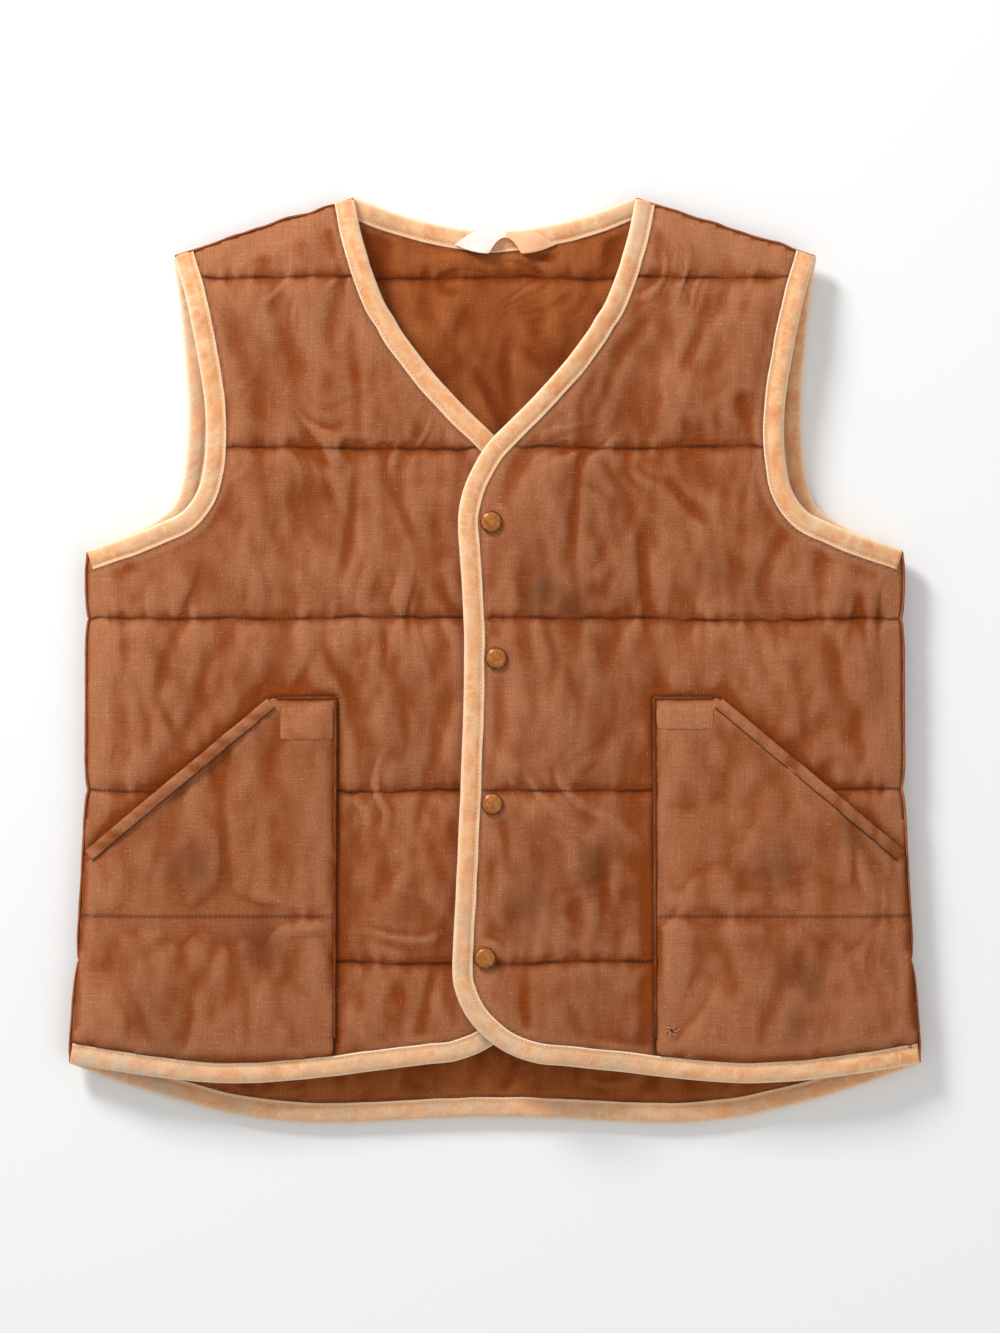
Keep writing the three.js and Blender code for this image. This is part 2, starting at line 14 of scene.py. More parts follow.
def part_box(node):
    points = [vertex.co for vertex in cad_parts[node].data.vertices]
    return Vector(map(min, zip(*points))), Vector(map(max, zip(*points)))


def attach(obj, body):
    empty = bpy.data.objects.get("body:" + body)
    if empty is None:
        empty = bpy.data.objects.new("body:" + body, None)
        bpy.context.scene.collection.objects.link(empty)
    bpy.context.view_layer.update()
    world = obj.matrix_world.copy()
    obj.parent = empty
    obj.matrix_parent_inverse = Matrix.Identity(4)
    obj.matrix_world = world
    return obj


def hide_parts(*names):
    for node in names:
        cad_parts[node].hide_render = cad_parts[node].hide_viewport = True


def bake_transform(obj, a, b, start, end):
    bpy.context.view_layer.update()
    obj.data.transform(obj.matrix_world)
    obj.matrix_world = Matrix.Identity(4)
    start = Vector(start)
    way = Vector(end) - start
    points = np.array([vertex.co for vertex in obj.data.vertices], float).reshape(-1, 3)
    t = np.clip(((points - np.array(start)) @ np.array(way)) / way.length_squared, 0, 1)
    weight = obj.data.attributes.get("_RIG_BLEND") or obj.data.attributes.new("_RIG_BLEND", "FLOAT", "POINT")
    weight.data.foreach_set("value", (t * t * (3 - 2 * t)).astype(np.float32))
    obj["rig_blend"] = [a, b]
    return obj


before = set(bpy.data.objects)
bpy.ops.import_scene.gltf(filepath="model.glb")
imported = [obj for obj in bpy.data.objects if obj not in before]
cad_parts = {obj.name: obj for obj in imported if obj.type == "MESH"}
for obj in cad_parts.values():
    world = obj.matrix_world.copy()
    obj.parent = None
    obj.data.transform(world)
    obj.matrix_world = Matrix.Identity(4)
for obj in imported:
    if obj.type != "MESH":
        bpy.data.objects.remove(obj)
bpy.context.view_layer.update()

MM = 0.001

# ---- sizes ---------------------------------------------------------------------------

CELL = 3.91 * MM  # cloth grid: thirty rows to a quilted channel
QUILT_PITCH = 30 * CELL
QUILT_BASE = 29 * MM  # height of the middle quilting line
EDGE_OUT = 1.3 * MM  # the tape's outer edge stands this far outside the plates
TAPE_WIDTH = 14 * MM
STITCH_IN = 11.8 * MM  # tape stitching, measured in from the outer edge

TAPE_GRIP = 14.6 * MM  # the panel is held flat this far in from a tape's outer edge
HALF_CROWN = 4.5 * MM  # half thickness in the middle of a channel
HALF_SEAM = 1.5 * MM  # half thickness at a quilting line
HALF_TAPE = 1.4 * MM  # half thickness under the tape
SWELL_RUN = 34 * MM  # from a stitched line to the full crown
SEAM_RUN = 45 * MM  # how far in from a side seam the panel comes down to it

BACK_MID = 5.2 * MM
FRONT_MID = 20.2 * MM
SEAM_MID = 12.7 * MM
SEAM_STEP = 2.0 * MM  # the front's edge lies this far above the seam's middle, the back's below
FOLD_BAND = (97 * MM, 72 * MM)  # the cloth bends between these distances from the centre
RAMP_TOP = 104 * MM
RAMP_RUN = 78 * MM

POCKET_QUILT = -175 * MM
POCKET_HALF = 0.9 * MM  # half the pocket cloth's thickness
SNAPS = 4
SNAP_DIMPLE = 9 * MM  # the panel is pressed flat this far round a snap
HALF_SNAP = 3.8 * MM

TABLE_Z = 0.3 * MM  # nothing hangs below this
SIM_FRAMES = 16

LEFT, RIGHT = 1, -1
SIDE_NAME = {LEFT: "left", RIGHT: "right"}

# ---- numbers and lines ---------------------------------------------------------------


def ease(t):
    t = np.clip(t, 0, 1)
    return t * t * (3 - 2 * t)


def swell(t):
    """Rises like a quarter round."""
    return np.sqrt(1 - (1 - np.clip(t, 0, 1)) ** 2)


def ripple(x, y, wave_x, wave_y, seed):
    """Smooth noise from about -1 to 1, with its own wave length each way."""
    return np.array([
        noise.noise(Vector((a / wave_x, b / wave_y, seed))) for a, b in zip(x, y)
    ])


def signed_area(line):
    """The area inside a closed line, below zero where the line runs clockwise."""
    x, y = line.T
    return np.sum(x * np.roll(y, -1) - y * np.roll(x, -1)) / 2


def plate_outline(node):
    """The corners of a plate's upper face, anticlockwise, as rows of x, y."""
    bm = bmesh.new()
    bm.from_mesh(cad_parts[node].data)
    bmesh.ops.remove_doubles(bm, verts=bm.verts, dist=0.01 * MM)
    bm.normal_update()
    hidden = [f for f in bm.faces if f.normal.z < 0.5]
    bmesh.ops.delete(bm, geom=hidden, context="FACES")
    rim = [e for e in bm.edges if e.is_boundary]
    used, loops = set(), []
    for start in rim:
        if start in used:
            continue
        used.add(start)
        loop = [start.verts[0], start.verts[1]]
        while True:
            step = next((e for e in loop[-1].link_edges if e.is_boundary and e not in used), None)
            if step is None:
                break
            used.add(step)
            loop.append(step.other_vert(loop[-1]))
        loops.append(np.array([v.co.xy[:] for v in loop[:-1]]))
    bm.free()
    line = max(loops, key=lambda p: np.ptp(p, 0).sum())
    return line if signed_area(line) > 0 else line[::-1]


def started_at(line, corner):
    """A closed line that starts at its point nearest to a corner."""
    return np.roll(line, -int(np.argmin(np.hypot(*(line - corner).T))), 0)


def between(line, first, last):
    """The stretch of a closed line from one corner on to another."""
    rolled = started_at(line, first)
    return rolled[: int(np.argmin(np.hypot(*(rolled - last).T))) + 1]


def smooth_line(points, step=2 * MM):
    """A rounded curve through the points, in steps of equal length."""
    kept = [points[0]]
    for p in points[1:-1]:
        if np.hypot(*(p - kept[-1])) > 4 * MM and np.hypot(*(p - points[-1])) > 4 * MM:
            kept.append(p)
    kept.append(points[-1])
    p = np.array([2 * kept[0] - kept[1], *kept, 2 * kept[-1] - kept[-2]])
    t = np.linspace(0, 1, 12, endpoint=False)[:, None]
    fine = [
        0.5 * (2 * b + (c - a) * t + (2 * a - 5 * b + 4 * c - d) * t**2 + (3 * b - a - 3 * c + d) * t**3)
        for a, b, c, d in zip(p, p[1:], p[2:], p[3:])
    ]
    fine = np.vstack([*fine, kept[-1]])
    run = np.concatenate([[0], np.cumsum(np.hypot(*np.diff(fine, axis=0).T))])
    even = np.linspace(0, run[-1], max(2, int(round(run[-1] / step))) + 1)
    return np.column_stack([np.interp(even, run, fine[:, k]) for k in (0, 1)])


def inward(line):
    """Unit normals to the left of a line, which is the panel's side of an anticlockwise edge."""
    along = np.gradient(line, axis=0)
    along /= np.hypot(*along.T)[:, None]
    return np.column_stack([-along[:, 1], along[:, 0]])


def moved_in(line, distance):
    return line + inward(line) * distance


def is_inside(points, outline):
    x, y = points.T
    hit = np.zeros(len(points), bool)
    for (x0, y0), (x1, y1) in zip(outline, np.roll(outline, -1, 0)):
        if y0 != y1:
            hit ^= ((y0 > y) != (y1 > y)) & (x < x0 + (y - y0) * (x1 - x0) / (y1 - y0))
    return hit


def point_tree(points):
    """Points in plan, ready to be searched for the nearest."""
    tree = kdtree.KDTree(len(points))
    for i, (x, y) in enumerate(points):
        tree.insert((x, y, 0), i)
    tree.balance()
    return tree


def distance_to(lines, x, y):
    """Distance from each point to the nearest of some finely divided lines."""
    tree = point_tree(np.vstack(lines))
    return np.array([tree.find((a, b, 0))[2] for a, b in zip(x, y)])


# ---- outlines from the frame ---------------------------------------------------------


def flat_corner(node, x_side, y_side):
    low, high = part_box(node)
    return np.array([(low, high)[x_side][0], (low, high)[y_side][1]])


def flipped(line):
    """The other side's line, still anticlockwise."""
    return (line * (-1, 1))[::-1]


def read_front():
    """The left front's edges: side, arm, shoulder and the bound edge from neck to hem."""
    side = plate_outline("left_side_shell")
    flap = plate_outline("left_flap_shell")
    side_fold = side[side[:, 0] < side[:, 0].min() + 0.5 * MM]
    flap_fold = flap[flap[:, 0] > flap[:, 0].max() - 0.5 * MM]
    side_fold = side_fold[np.argsort(side_fold[:, 1])]
    flap_fold = flap_fold[np.argsort(flap_fold[:, 1])]
    outer = between(side, side_fold[0], side_fold[-1])
    inner = between(flap, flap_fold[-1], flap_fold[0])
    whole = np.vstack([outer, inner])
    neck = flat_corner("left_shoulder_seam", 0, 1)
    tip = flat_corner("left_shoulder_seam", 1, 0)
    under = flat_corner("left_side_seam", 0, 1)
    hem = flat_corner("left_side_seam", 1, 0)
    edges = {
        "side": between(whole, hem, under),
        "arm": between(whole, under, tip),
        "shoulder": between(whole, tip, neck),
        "front": between(whole, neck, hem),
    }
    return {name: smooth_line(line) for name, line in edges.items()}


def read_back():
    whole = plate_outline("back_shell")
    corners = [flat_corner("left_side_seam", 1, 0), flat_corner("left_side_seam", 0, 1),
               flat_corner("left_shoulder_seam", 1, 0), flat_corner("left_shoulder_seam", 0, 1)]
    hem, under, tip, neck = corners
    other = (-1, 1)
    edges = {
        "hem": between(whole, hem * other, hem),
        "left_side": between(whole, hem, under),
        "left_arm": between(whole, under, tip),
        "left_shoulder": between(whole, tip, neck),
        "neck": between(whole, neck, neck * other),
    }
    lines = {name: smooth_line(line) for name, line in edges.items()}
    lines["left_side"] = scalloped(lines["left_side"])
    for name in ("side", "arm", "shoulder"):
        lines[f"right_{name}"] = flipped(lines[f"left_{name}"])
    return lines


def scalloped(line):
    """A left side edge, drawn in at each quilting line and swollen out between them."""
    x, y = line.T
    from_end = np.minimum(np.abs(y - y[0]), np.abs(y - y[-1]))
    swing = 2.8 * MM * swell(from_quilting(y) / (26 * MM)) - 1.6 * MM
    return np.column_stack([x + swing * ease(from_end / (14 * MM)), y])


def from_quilting(y):
    """Distance to the nearest quilting line."""
    return np.abs((y - QUILT_BASE + QUILT_PITCH / 2) % QUILT_PITCH - QUILT_PITCH / 2)


FRONT = {LEFT: read_front()}
FRONT[LEFT]["side"] = scalloped(FRONT[LEFT]["side"])
FRONT[RIGHT] = {name: flipped(line) for name, line in FRONT[LEFT].items()}
BACK = read_back()
LAP_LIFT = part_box("left_flap_shell")[1][2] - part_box("left_side_shell")[1][2]
SNAP_XY = [
    np.array((np.array(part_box(f"snap_{i + 1}_cap")[0]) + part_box(f"snap_{i + 1}_cap")[1])[:2]) / 2
    for i in range(SNAPS)
]

# ---- heights of the panels -----------------------------------------------------------


def joined(edges, names):
    return np.vstack([edges[name][:-1] for name in names])


def lap_lift(x, side):
    """How far the over front is raised to lie on the under front."""
    return LAP_LIFT * ease((RAMP_TOP - x) / RAMP_RUN) if side == LEFT else 0 * x


def panel_mid(x, y, seams, flat_mid):
    """Height of a panel's middle layer, which runs to the side and shoulder seams."""
    near = ease(distance_to(seams, x, y) / SEAM_RUN)
    seam = SEAM_MID + math.copysign(SEAM_STEP, flat_mid - SEAM_MID)
    return seam + (flat_mid - seam) * near


def front_mid(x, y, side):
    edges = FRONT[side]
    return panel_mid(x, y, [edges["side"], edges["shoulder"]], FRONT_MID) + lap_lift(x, side)


def back_mid(x, y):
    seams = [BACK[f"{s}_{e}"] for s in ("left", "right") for e in ("side", "shoulder")]
    return panel_mid(x, y, seams, BACK_MID)


# ---- meshes --------------------------------------------------------------------------


def coordinates(piece):
    flat = np.empty(3 * len(piece.data.vertices), np.float32)
    piece.data.vertices.foreach_get("co", flat)
    return flat.reshape(-1, 3).astype(float)


def put_coordinates(piece, points):
    piece.data.vertices.foreach_set("co", points.astype(np.float32).ravel())
    piece.data.update()


def new_piece(name, points, faces, material=None):
    mesh = bpy.data.meshes.new(name)
    mesh.from_pydata([tuple(p) for p in points], [], [tuple(f) for f in faces])
    mesh.validate()
    piece = bpy.data.objects.new(name, mesh)
    bpy.context.scene.collection.objects.link(piece)
    if material:
        mesh.materials.append(material)
    return piece


def shaded_smooth(piece):
    piece.data.shade_smooth()
    return piece


def make_active(piece):
    bpy.ops.object.select_all(action="DESELECT")
    piece.select_set(True)
    bpy.context.view_layer.objects.active = piece


def apply_modifier(piece, kind, **settings):
    make_active(piece)
    modifier = piece.modifiers.new(kind.title(), kind)
    for name, value in settings.items():
        setattr(modifier, name, value)
    bpy.ops.object.modifier_apply(modifier=modifier.name)


def put_number(piece, name, values):
    kept = piece.data.attributes
    layer = kept.get(name) or kept.new(name, "FLOAT", "POINT")
    layer.data.foreach_set("value", np.asarray(values, np.float32))


def put_cloth_uv(piece, flat):
    """A map in metres of cloth, from each point's place before the cloth moved."""
    layer = piece.data.uv_layers.new(name="cloth")
    corner = np.empty(len(piece.data.loops), np.int32)
    piece.data.loops.foreach_get("vertex_index", corner)
    layer.data.foreach_set("uv", flat[corner].astype(np.float32).ravel())


def plan_grid(outline, corners):
    """Points and square faces that fill an outline, with their rim drawn out to it."""
    low, high = outline.min(0), outline.max(0)
    columns = np.arange(math.floor(low[0] / CELL), math.ceil(high[0] / CELL) + 1) * CELL
    first = math.floor((low[1] - QUILT_BASE) / CELL)
    last = math.ceil((high[1] - QUILT_BASE) / CELL)
    rows = QUILT_BASE + np.arange(first, last + 1) * CELL
    points = np.array([(x, y) for y in rows for x in columns])
    kept = is_inside(points, outline)
    n = len(columns)
    quads = [
        (a, a + 1, a + n + 1, a + n)
        for j in range(len(rows) - 1)
        for a in range(j * n, j * n + n - 1)
        if kept[[a, a + 1, a + n, a + n + 1]].all()
    ]
    used = sorted({i for quad in quads for i in quad})
    index = {old: new for new, old in enumerate(used)}
    quads = [tuple(index[i] for i in quad) for quad in quads]
    points = points[used]
    count = {}
    for quad in quads:
        for a, b in zip(quad, quad[1:] + quad[:1]):
            key = (min(a, b), max(a, b))
            count[key] = count.get(key, 0) + 1
    rim = np.array(sorted({i for key, c in count.items() if c == 1 for i in key}))
    tree = point_tree(outline)
    for i in rim:
        points[i] = outline[tree.find((*points[i], 0))[1]]
    for corner in corners:
        points[rim[np.argmin(np.hypot(*(points[rim] - corner).T))]] = corner
    return points, quads, rim


def closed_pad(name, plan, quads, rim, mid, half):
    """A closed body of two layers that meet along the rim."""
    n = len(plan)
    on_rim = np.zeros(n, bool)
    on_rim[rim] = True
    half = np.where(on_rim, 0, half)
    under = np.where(on_rim, np.arange(n), n - 1 + np.cumsum(~on_rim))
    top = np.column_stack([plan, mid + half])
    low = np.column_stack([plan, mid - half])[~on_rim]
    faces = quads + [tuple(int(under[i]) for i in quad[::-1]) for quad in quads]
    piece = new_piece(name, np.vstack([top, low]), faces)
    flat = np.vstack([plan, plan[~on_rim]])
    put_cloth_uv(piece, flat)
    put_number(piece, "rim", np.concatenate([on_rim, np.zeros((~on_rim).sum())]))
    return piece, flat


def get_number(piece, name):
    values = np.empty(len(piece.data.vertices), np.float32)
    piece.data.attributes[name].data.foreach_get("value", values)
    return values.astype(float)


def drawn_to(outline, points, which):
    """Moves the chosen points to the nearest place on a closed outline."""
    a, b = outline, np.roll(outline, -1, 0)
    along = b - a
    square = np.maximum(np.sum(along**2, 1), 1e-12)
    for i in np.flatnonzero(which):
        p = points[i, :2]
        t = np.clip(np.sum((p - a) * along, 1) / square, 0, 1)
        spots = a + along * t[:, None]
        points[i, :2] = spots[np.argmin(np.hypot(*(spots - p).T))]
    return points


def settle(piece, held, cap, growth, pressure, frames):
    """Lets the cloth buckle and swell between its held points, and no further than the cap."""
    start = coordinates(piece)
    group = piece.vertex_groups.new(name="held")
    group.add([int(i) for i in np.flatnonzero(held)], 1.0, "REPLACE")
    make_active(piece)
    modifier = piece.modifiers.new("Cloth", "CLOTH")
    cloth = modifier.settings
    cloth.quality = 4
    cloth.mass = 0.2
    cloth.tension_stiffness = 14
    cloth.compression_stiffness = 14
    cloth.shear_stiffness = 6
    cloth.bending_stiffness = 0.25
    cloth.shrink_min = -growth
    cloth.shrink_max = -growth
    cloth.use_pressure = True
    cloth.uniform_pressure_force = pressure
    cloth.vertex_group_mass = group.name
    cloth.effector_weights.gravity = 0
    modifier.collision_settings.use_collision = False
    modifier.point_cache.frame_end = frames
    for number in range(1, frames + 1):
        bpy.context.scene.frame_set(number)
    bpy.ops.object.modifier_apply(modifier=modifier.name)
    bpy.context.scene.frame_set(1)
    step = coordinates(piece) - start
    length = np.linalg.norm(step, axis=1)[:, None]
    put_coordinates(piece, start + step * np.minimum(1, cap / np.maximum(length, 1e-9)))
    piece.vertex_groups.clear()


def neighbour_mean(piece, values, rounds):
    """Values smoothed over the mesh's edges."""
    pairs = np.empty(2 * len(piece.data.edges), np.int32)
    piece.data.edges.foreach_get("vertices", pairs)
    a, b = pairs.reshape(-1, 2).T
    n = len(values)
    count = np.bincount(a, minlength=n) + np.bincount(b, minlength=n)
    for _ in range(rounds):
        total = np.bincount(a, values[b], n) + np.bincount(b, values[a], n)
        values = (values + total / np.maximum(count, 1)) / 2
    return values


# ---- finishes ------------------------------------------------------------------------


def paint(red, green, blue):
    """A colour given as it looks on screen, from 0 to 255."""
    share = [c / 255 for c in (red, green, blue)]
    return (*[((c + 0.055) / 1.055) ** 2.4 if c > 0.04 else c / 12.92 for c in share], 1)


class Level:
    """A shader value that ordinary arithmetic can be written on."""

    def __init__(self, finish, socket):
        self.finish = finish
        self.socket = socket

    def worked(self, operation, first, second):
        return self.finish.node("Math", {"operation": operation}, {0: first, 1: second})

    def __add__(self, other):
        return self.worked("ADD", self, other)

    def __radd__(self, other):
        return self.worked("ADD", other, self)

    def __sub__(self, other):
        return self.worked("SUBTRACT", self, other)

    def __rsub__(self, other):
        return self.worked("SUBTRACT", other, self)

    def __mul__(self, other):
        return self.worked("MULTIPLY", self, other)

    def __rmul__(self, other):
        return self.worked("MULTIPLY", other, self)

    def over(self, low, high):
        """0 below low, 1 above high, and smooth between."""
        return self.finish.node(
            "MapRange", {"interpolation_type": "SMOOTHSTEP"}, {0: self, 1: low, 2: high, 3: 0.0, 4: 1.0}
        )


class Finish:
    """One material under construction."""

    def __init__(self, name, roughness=0.9, gloss=0.5):
        self.material = bpy.data.materials.new(name)
        self.material.use_nodes = True
        self.tree = self.material.node_tree
        self.shader = self.tree.nodes["Principled BSDF"]
        self.shader.inputs["Roughness"].default_value = roughness
        self.shader.inputs["Specular IOR Level"].default_value = gloss

    def node(self, kind, settings=None, inputs=None, output=0):
        made = self.tree.nodes.new("ShaderNode" + kind)
        for name, value in (settings or {}).items():
            setattr(made, name, value)
        for name, value in (inputs or {}).items():
            self.join(value, made.inputs[name])
        return Level(self, made.outputs[output])

    def join(self, value, socket):
        if isinstance(value, Level):
            self.tree.links.new(value.socket, socket)
        else:
            socket.default_value = value

    def set(self, **values):
        for name, value in values.items():
            self.join(value, self.shader.inputs[name.replace("_", " ")])

    def stored(self, name):
        """A number kept on the piece's points."""
        return self.node("Attribute", {"attribute_name": name}, output=2)

    def mixed(self, share, first, second):
        return self.node("Mix", {"data_type": "RGBA"}, {0: share, 6: first, 7: second}, output=2)

    def tinted(self, share, first, second):
        """The first colour multiplied by the second."""
        settings = {"data_type": "RGBA", "blend_type": "MULTIPLY"}
        return self.node("Mix", settings, {0: share, 6: first, 7: second}, output=2)

    def cloth_place(self):
        return self.node("UVMap", {"uv_map": "cloth"})

    def own_place(self):
        """The piece's own coordinates."""
        return self.node("TexCoord", output=3)

    def stretched(self, place, x, y, turn=0.0):
        """A place measured in the given lengths along each way of the cloth."""
        settings = {"vector_type": "POINT"}
        inputs = {0: place, 2: (0, 0, turn), 3: (1 / x, 1 / y, 1)}
        return self.node("Mapping", settings, inputs)

    def speckle(self, place, detail=2.0, roughness=0.5):
        """Noise between 0 and 1, one blot to a unit of length."""
        inputs = {"Vector": place, "Scale": 1.0, "Detail": detail, "Roughness": roughness}
        return self.node("TexNoise", {"normalize": True}, inputs)

    def bumped(self, height, depth, strength):
        inputs = {"Strength": strength, "Distance": depth, "Height": height}
        self.set(Normal=self.node("Bump", None, inputs))


def slubbed_cloth(name, lit_crown_colour, low, seam, fade=1.0):
    """Plain-weave cotton with uneven threads both ways, with a painted highlight on its crowns and painted
    shade in its hollows.
    """
    cloth = Finish(name, 0.88, 0.12)
    place = cloth.cloth_place()
    upright = cloth.speckle(cloth.stretched(place, 1.2 * MM, 24 * MM), 1.0)
    across = cloth.speckle(cloth.stretched(place, 20 * MM, 1.1 * MM), 1.0)
    fine_up = cloth.speckle(cloth.stretched(place, 0.5 * MM, 2.4 * MM), 1.0)
    fine_over = cloth.speckle(cloth.stretched(place, 2.4 * MM, 0.5 * MM), 1.0)
    patchy = cloth.speckle(cloth.stretched(place, 22 * MM, 36 * MM), 2.0, 0.45)
    broad = cloth.speckle(cloth.stretched(place, 110 * MM, 90 * MM), 1.0)
    grain = cloth.speckle(cloth.stretched(place, 1.5 * MM, 1.5 * MM), 3.0, 0.75)
    painted_shade = cloth.stored("painted_shade")
    # painted shade in the hollows and a painted highlight on the crowns, mixed with the cloth's uneven tone;
    # low is the painted shade colour and lit_crown_colour the painted highlight colour
    wear_and_shade = 1 - painted_shade + (patchy - 0.5) * 0.7 + (broad - 0.5) * 0.6 + (grain - 0.5) * 0.5
    colour = cloth.mixed(wear_and_shade.over(0.0, 1.1), low, lit_crown_colour)
    thread = (
        (upright - 0.5) * 0.5 + (across - 0.5) * 0.45 + (fine_up - 0.5) * 0.8 + (fine_over - 0.5) * 0.8
    )
    colour = cloth.mixed((0 - thread).over(0.0, 0.6) * (0.5 * fade), colour, paint(96, 38, 6))
    # pale threads, shown more strongly on the crowns as a painted sheen
    pale_thread_and_sheen = thread.over(0.0, 0.6) * (0.2 + 0.8 * wear_and_shade.over(0.2, 1.0)) * (0.95 * fade)
    colour = cloth.mixed(pale_thread_and_sheen, colour, paint(206, 148, 110))
    slub = cloth.speckle(cloth.stretched(place, 0.8 * MM, 6 * MM), 0.0).over(0.72, 0.88)
    slub_over = cloth.speckle(cloth.stretched(place, 8 * MM, 0.8 * MM), 0.0).over(0.72, 0.88)
    colour = cloth.mixed((slub + slub_over) * (0.3 * fade), colour, paint(214, 156, 116))
    colour = cloth.mixed(cloth.stored("stain"), colour, paint(74, 46, 30))
    colour = cloth.mixed(cloth.stored("seam"), colour, seam)
    cloth.set(Base_Color=colour)
    cloth.bumped(fine_up + fine_over + upright * 1.2 + across * 1.2, 0.25 * MM, 0.6)
    return cloth


def folded_tape_cloth(name):
    """Peach cotton tape, with a painted highlight along its lip and folded edge, painted shade along its
    stitching, and soiled in places.
    """
    tape = Finish(name, 0.82, 0.25)
    place = tape.cloth_place()
    weave_up = tape.speckle(tape.stretched(place, 0.5 * MM, 3 * MM), 1.0)
    weave_over = tape.speckle(tape.stretched(place, 3 * MM, 0.5 * MM), 1.0)
    blotch = tape.speckle(tape.stretched(place, 13 * MM, 7 * MM, 0.6), 2.0, 0.5)
    streak = tape.speckle(tape.stretched(place, 4 * MM, 14 * MM, 0.7), 2.0)
    wide = tape.speckle(tape.stretched(place, 60 * MM, 30 * MM), 2.0)
    colour = tape.mixed(blotch.over(0.3, 0.7), paint(236, 162, 106), paint(248, 198, 148))
    colour = tape.mixed(streak.over(0.5, 0.78) * 0.7, colour, paint(250, 214, 170))
    colour = tape.mixed(wide.over(0.4, 0.7) * 0.5, colour, paint(240, 166, 110))
    soil = tape.stored("soil") * (0.6 + 0.7 * blotch)
    colour = tape.mixed(soil, colour, paint(212, 190, 162))
    # painted shade along the stitching's furrow
    colour = tape.mixed(tape.stored("stitch_groove_shade") * 0.3, colour, paint(214, 146, 96))
    # painted highlight along the lip and the folded edge
    colour = tape.mixed(tape.stored("edge"), colour, paint(255, 232, 200))
    grain = (weave_up + weave_over).over(0.75, 1.25)
    colour = tape.tinted(grain * 0.4, colour, paint(222, 200, 180))
    tape.set(Base_Color=colour)
    tape.bumped(weave_up + weave_over, 0.18 * MM, 0.5)
    return tape


def thread_finish(name, dark, light):
    thread = Finish(name, 0.85, 0.15)
    place = thread.own_place()
    twist = thread.speckle(thread.stretched(place, 0.4 * MM, 0.4 * MM), 1.0)
    thread.set(Base_Color=thread.mixed(twist.over(0.3, 0.7), dark, light))
    thread.bumped(twist, 0.05 * MM, 0.4)
    return thread


def label_cloth():
    """A plain woven strip, white on one half and peach on the other."""
    label = Finish("label tape", 0.75)
    place = label.cloth_place()
    across = label.node("SeparateXYZ", None, {0: place})
    ribs = label.speckle(label.stretched(place, 4 * MM, 0.4 * MM), 1.0)
    grime = label.speckle(label.stretched(place, 9 * MM, 6 * MM), 3.0)
    low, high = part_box("neck_label")
    middle = (low[0] + high[0]) / 2
    half = across.over(middle - 1.0 * MM, middle + 1.5 * MM)
    colour = label.mixed(half, paint(234, 226, 220), paint(238, 184, 140))
    colour = label.tinted(grime.over(0.4, 0.8) * 0.35, colour, paint(236, 216, 196))
    colour = label.tinted(ribs.over(0.3, 0.8) * 0.25, colour, paint(215, 195, 175))
    label.set(Base_Color=colour)
    label.bumped(ribs, 0.1 * MM, 0.5)
    return label


def enamel():
    """Amber-brown enamel on a snap's dome, scuffed paler in spots."""
    cap = Finish("snap enamel", 0.3)
    place = cap.own_place()
    mottle = cap.speckle(cap.stretched(place, 3 * MM, 3 * MM), 3.0, 0.65)
    spots = cap.speckle(cap.stretched(place, 0.9 * MM, 0.9 * MM), 2.0).over(0.62, 0.74)
    colour = cap.mixed(mottle.over(0.3, 0.7), paint(146, 78, 18), paint(188, 116, 46))
    colour = cap.mixed(spots * 0.4, colour, paint(226, 156, 80))
    cap.set(Base_Color=colour, Roughness=0.2 + mottle * 0.25, Metallic=0.1)
    cap.bumped(mottle, 0.1 * MM, 0.3)
    return cap


def dull_metal(name, dark, light):
    metal = Finish(name, 0.4)
    place = metal.own_place()
    tarnish = metal.speckle(metal.stretched(place, 2 * MM, 2 * MM), 3.0, 0.6)
    metal.set(Base_Color=metal.mixed(tarnish.over(0.3, 0.7), dark, light))
    metal.set(Roughness=0.25 + tarnish * 0.35, Metallic=1.0)
    metal.bumped(tarnish, 0.05 * MM, 0.3)
    return metal


def floor_finish():
    floor = Finish("paper", 0.8)
    floor.set(Base_Color=(0.93, 0.93, 0.925, 1))
    return floor.material


# brown for the dark sewn lines and for the painted crease shade and painted shadows along tapes and pocket
# edges
SEAM_AND_SHADOW_BROWN = paint(52, 18, 6)
# each cloth's first colour is its painted highlight on the crowns and its second its painted shade in the
# hollows
SHELL = slubbed_cloth("shell cloth", paint(171, 108, 72), paint(134, 60, 12), SEAM_AND_SHADOW_BROWN).material
LINING = slubbed_cloth("lining cloth", paint(160, 88, 42), paint(124, 50, 4), SEAM_AND_SHADOW_BROWN, 0.6).material
TAPE_CLOTH = folded_tape_cloth("tape cloth").material
CREAM_THREAD = thread_finish("cream thread", paint(238, 196, 146), paint(255, 232, 194)).material
BROWN_THREAD = thread_finish("brown thread", paint(92, 38, 18), paint(140, 68, 38)).material
LABEL_CLOTH = label_cloth().material
ENAMEL = enamel().material
SNAP_METAL = dull_metal("snap metal", paint(150, 140, 122), paint(205, 198, 184)).material
RIM_METAL = dull_metal("snap rim", paint(96, 50, 26), paint(160, 98, 52)).material

# ---- folds and stains ----------------------------------------------------------------


def furrow(values, width):
    """1 where the values are 0, fading to 0 over about the given width."""
    return np.exp(-((values / width) ** 2))


def sometimes(values, low, high):
    """0 below low, 1 above high, and smooth between."""
    return ease((values - low) / (high - low))


